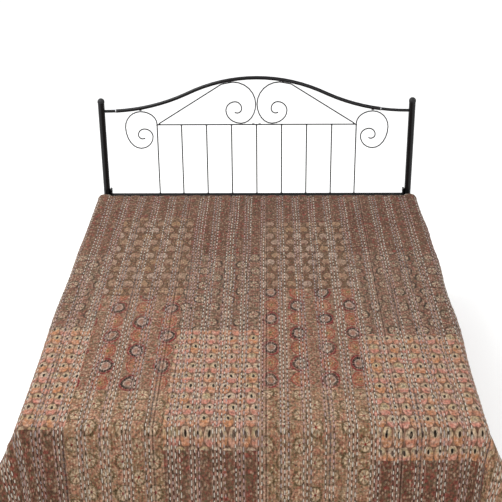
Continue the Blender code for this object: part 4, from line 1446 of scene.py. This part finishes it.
def ring_profile(inner, rise, half_width):
    """A flat band with its edges taken off, closed by two discs inside the tube."""
    return [(inner * 0.5, -half_width), (inner + rise * 0.4, -half_width), (inner + rise, -half_width * 0.5),
            (inner + rise, half_width * 0.5), (inner + rise * 0.4, half_width), (inner * 0.5, half_width)]


zinc = bare_steel()
for side, x in zip(("left", "right"), JOINTS):
    slope = (rail_height(x + 0.001) - rail_height(x - 0.001)) / 0.002
    middle = (x, HEADBOARD_Y, COVER_TOP + float(rail_height(x)))
    add_turned(f"joint_ring_{side}", ring_profile(RAIL_RADIUS, RING_RISE, RING_HALF_WIDTH), middle,
               (1.0, 0.0, float(slope)), zinc)
    way = math.copysign(1.0, x)
    bracket_x = way * (POST_PLACE - POST_RADIUS - GAP - BRACKET_REACH)
    add_turned(f"bracket_screw_{side}", SCREW_PROFILE, (bracket_x, HEADBOARD_Y, COVER_TOP + 0.002),
               (way, 0.0, 0.0), zinc, 20)
print("rail at the joints:", [round(float(rail_height(x)), 4) for x in JOINTS])


def weld_places():
    """Place across, height and half sizes of the welds: rods on their rails, scrolls under and on theirs."""
    rows = []
    for number in range(-4, 5):
        x = max(-LAST_ROD, min(LAST_ROD, number * ROD_PITCH))
        rows.append((x, COVER_TOP - CROSS_DROP, *WELDS["cross rail"]))
        rows.append((x, COVER_TOP + BAR_HEIGHT - WIRE_RADIUS, *WELDS["bar"]))
    for x in SCROLL_TOPS:
        under = COVER_TOP + float(rail_height(x)) - RAIL_RADIUS - 0.0012
        rows += [(place, under, *WELDS["top rail"]) for place in (x, -x)]
    for x in SCROLL_SEATS:
        seat = COVER_TOP + BAR_HEIGHT + WIRE_RADIUS
        rows += [(place, seat, *WELDS["seat"]) for place in (x, -x)]
    return np.array(rows)


def add_welds(material):
    """All welds in one mesh: an oval bead whose radius ripples with its two angles."""
    rows = weld_places()
    turns = np.linspace(0, 2 * math.pi, WELD_SIDES, endpoint=False)
    rises = np.linspace(0.12, math.pi - 0.12, WELD_RINGS)
    rise, turn = np.meshgrid(rises, turns, indexing="ij")
    way = np.stack([np.sin(rise) * np.cos(turn), np.sin(rise) * np.sin(turn), np.cos(rise)], axis=-1)
    number = np.arange(len(rows))[:, None, None]
    lumps = 1 + 0.12 * np.sin(5 * turn + 2.1 * number) * np.sin(4 * rise + number)
    depths = np.full(len(rows), WELD_HALF_DEPTH)
    size = np.stack([rows[:, 2], depths, rows[:, 3]], axis=-1)[:, None, None]
    middle = np.stack([rows[:, 0], np.full(len(rows), HEADBOARD_Y), rows[:, 1]], axis=-1)[:, None, None]
    points = middle + way[None] * size * lumps[..., None]
    one = grid_faces(WELD_RINGS, WELD_SIDES, wrap_columns=True)
    each = WELD_RINGS * WELD_SIDES
    ends = [list(range(WELD_SIDES))[::-1], list(range(each - WELD_SIDES, each))]
    faces = []
    for start in np.arange(len(rows)) * each:
        faces += (one + start).tolist() + [[start + i for i in end] for end in ends]
    return add_mesh("weld_beads", points, faces, [material])


welds = add_welds(finishes["black_steel"])
print("welds:", len(weld_places()))
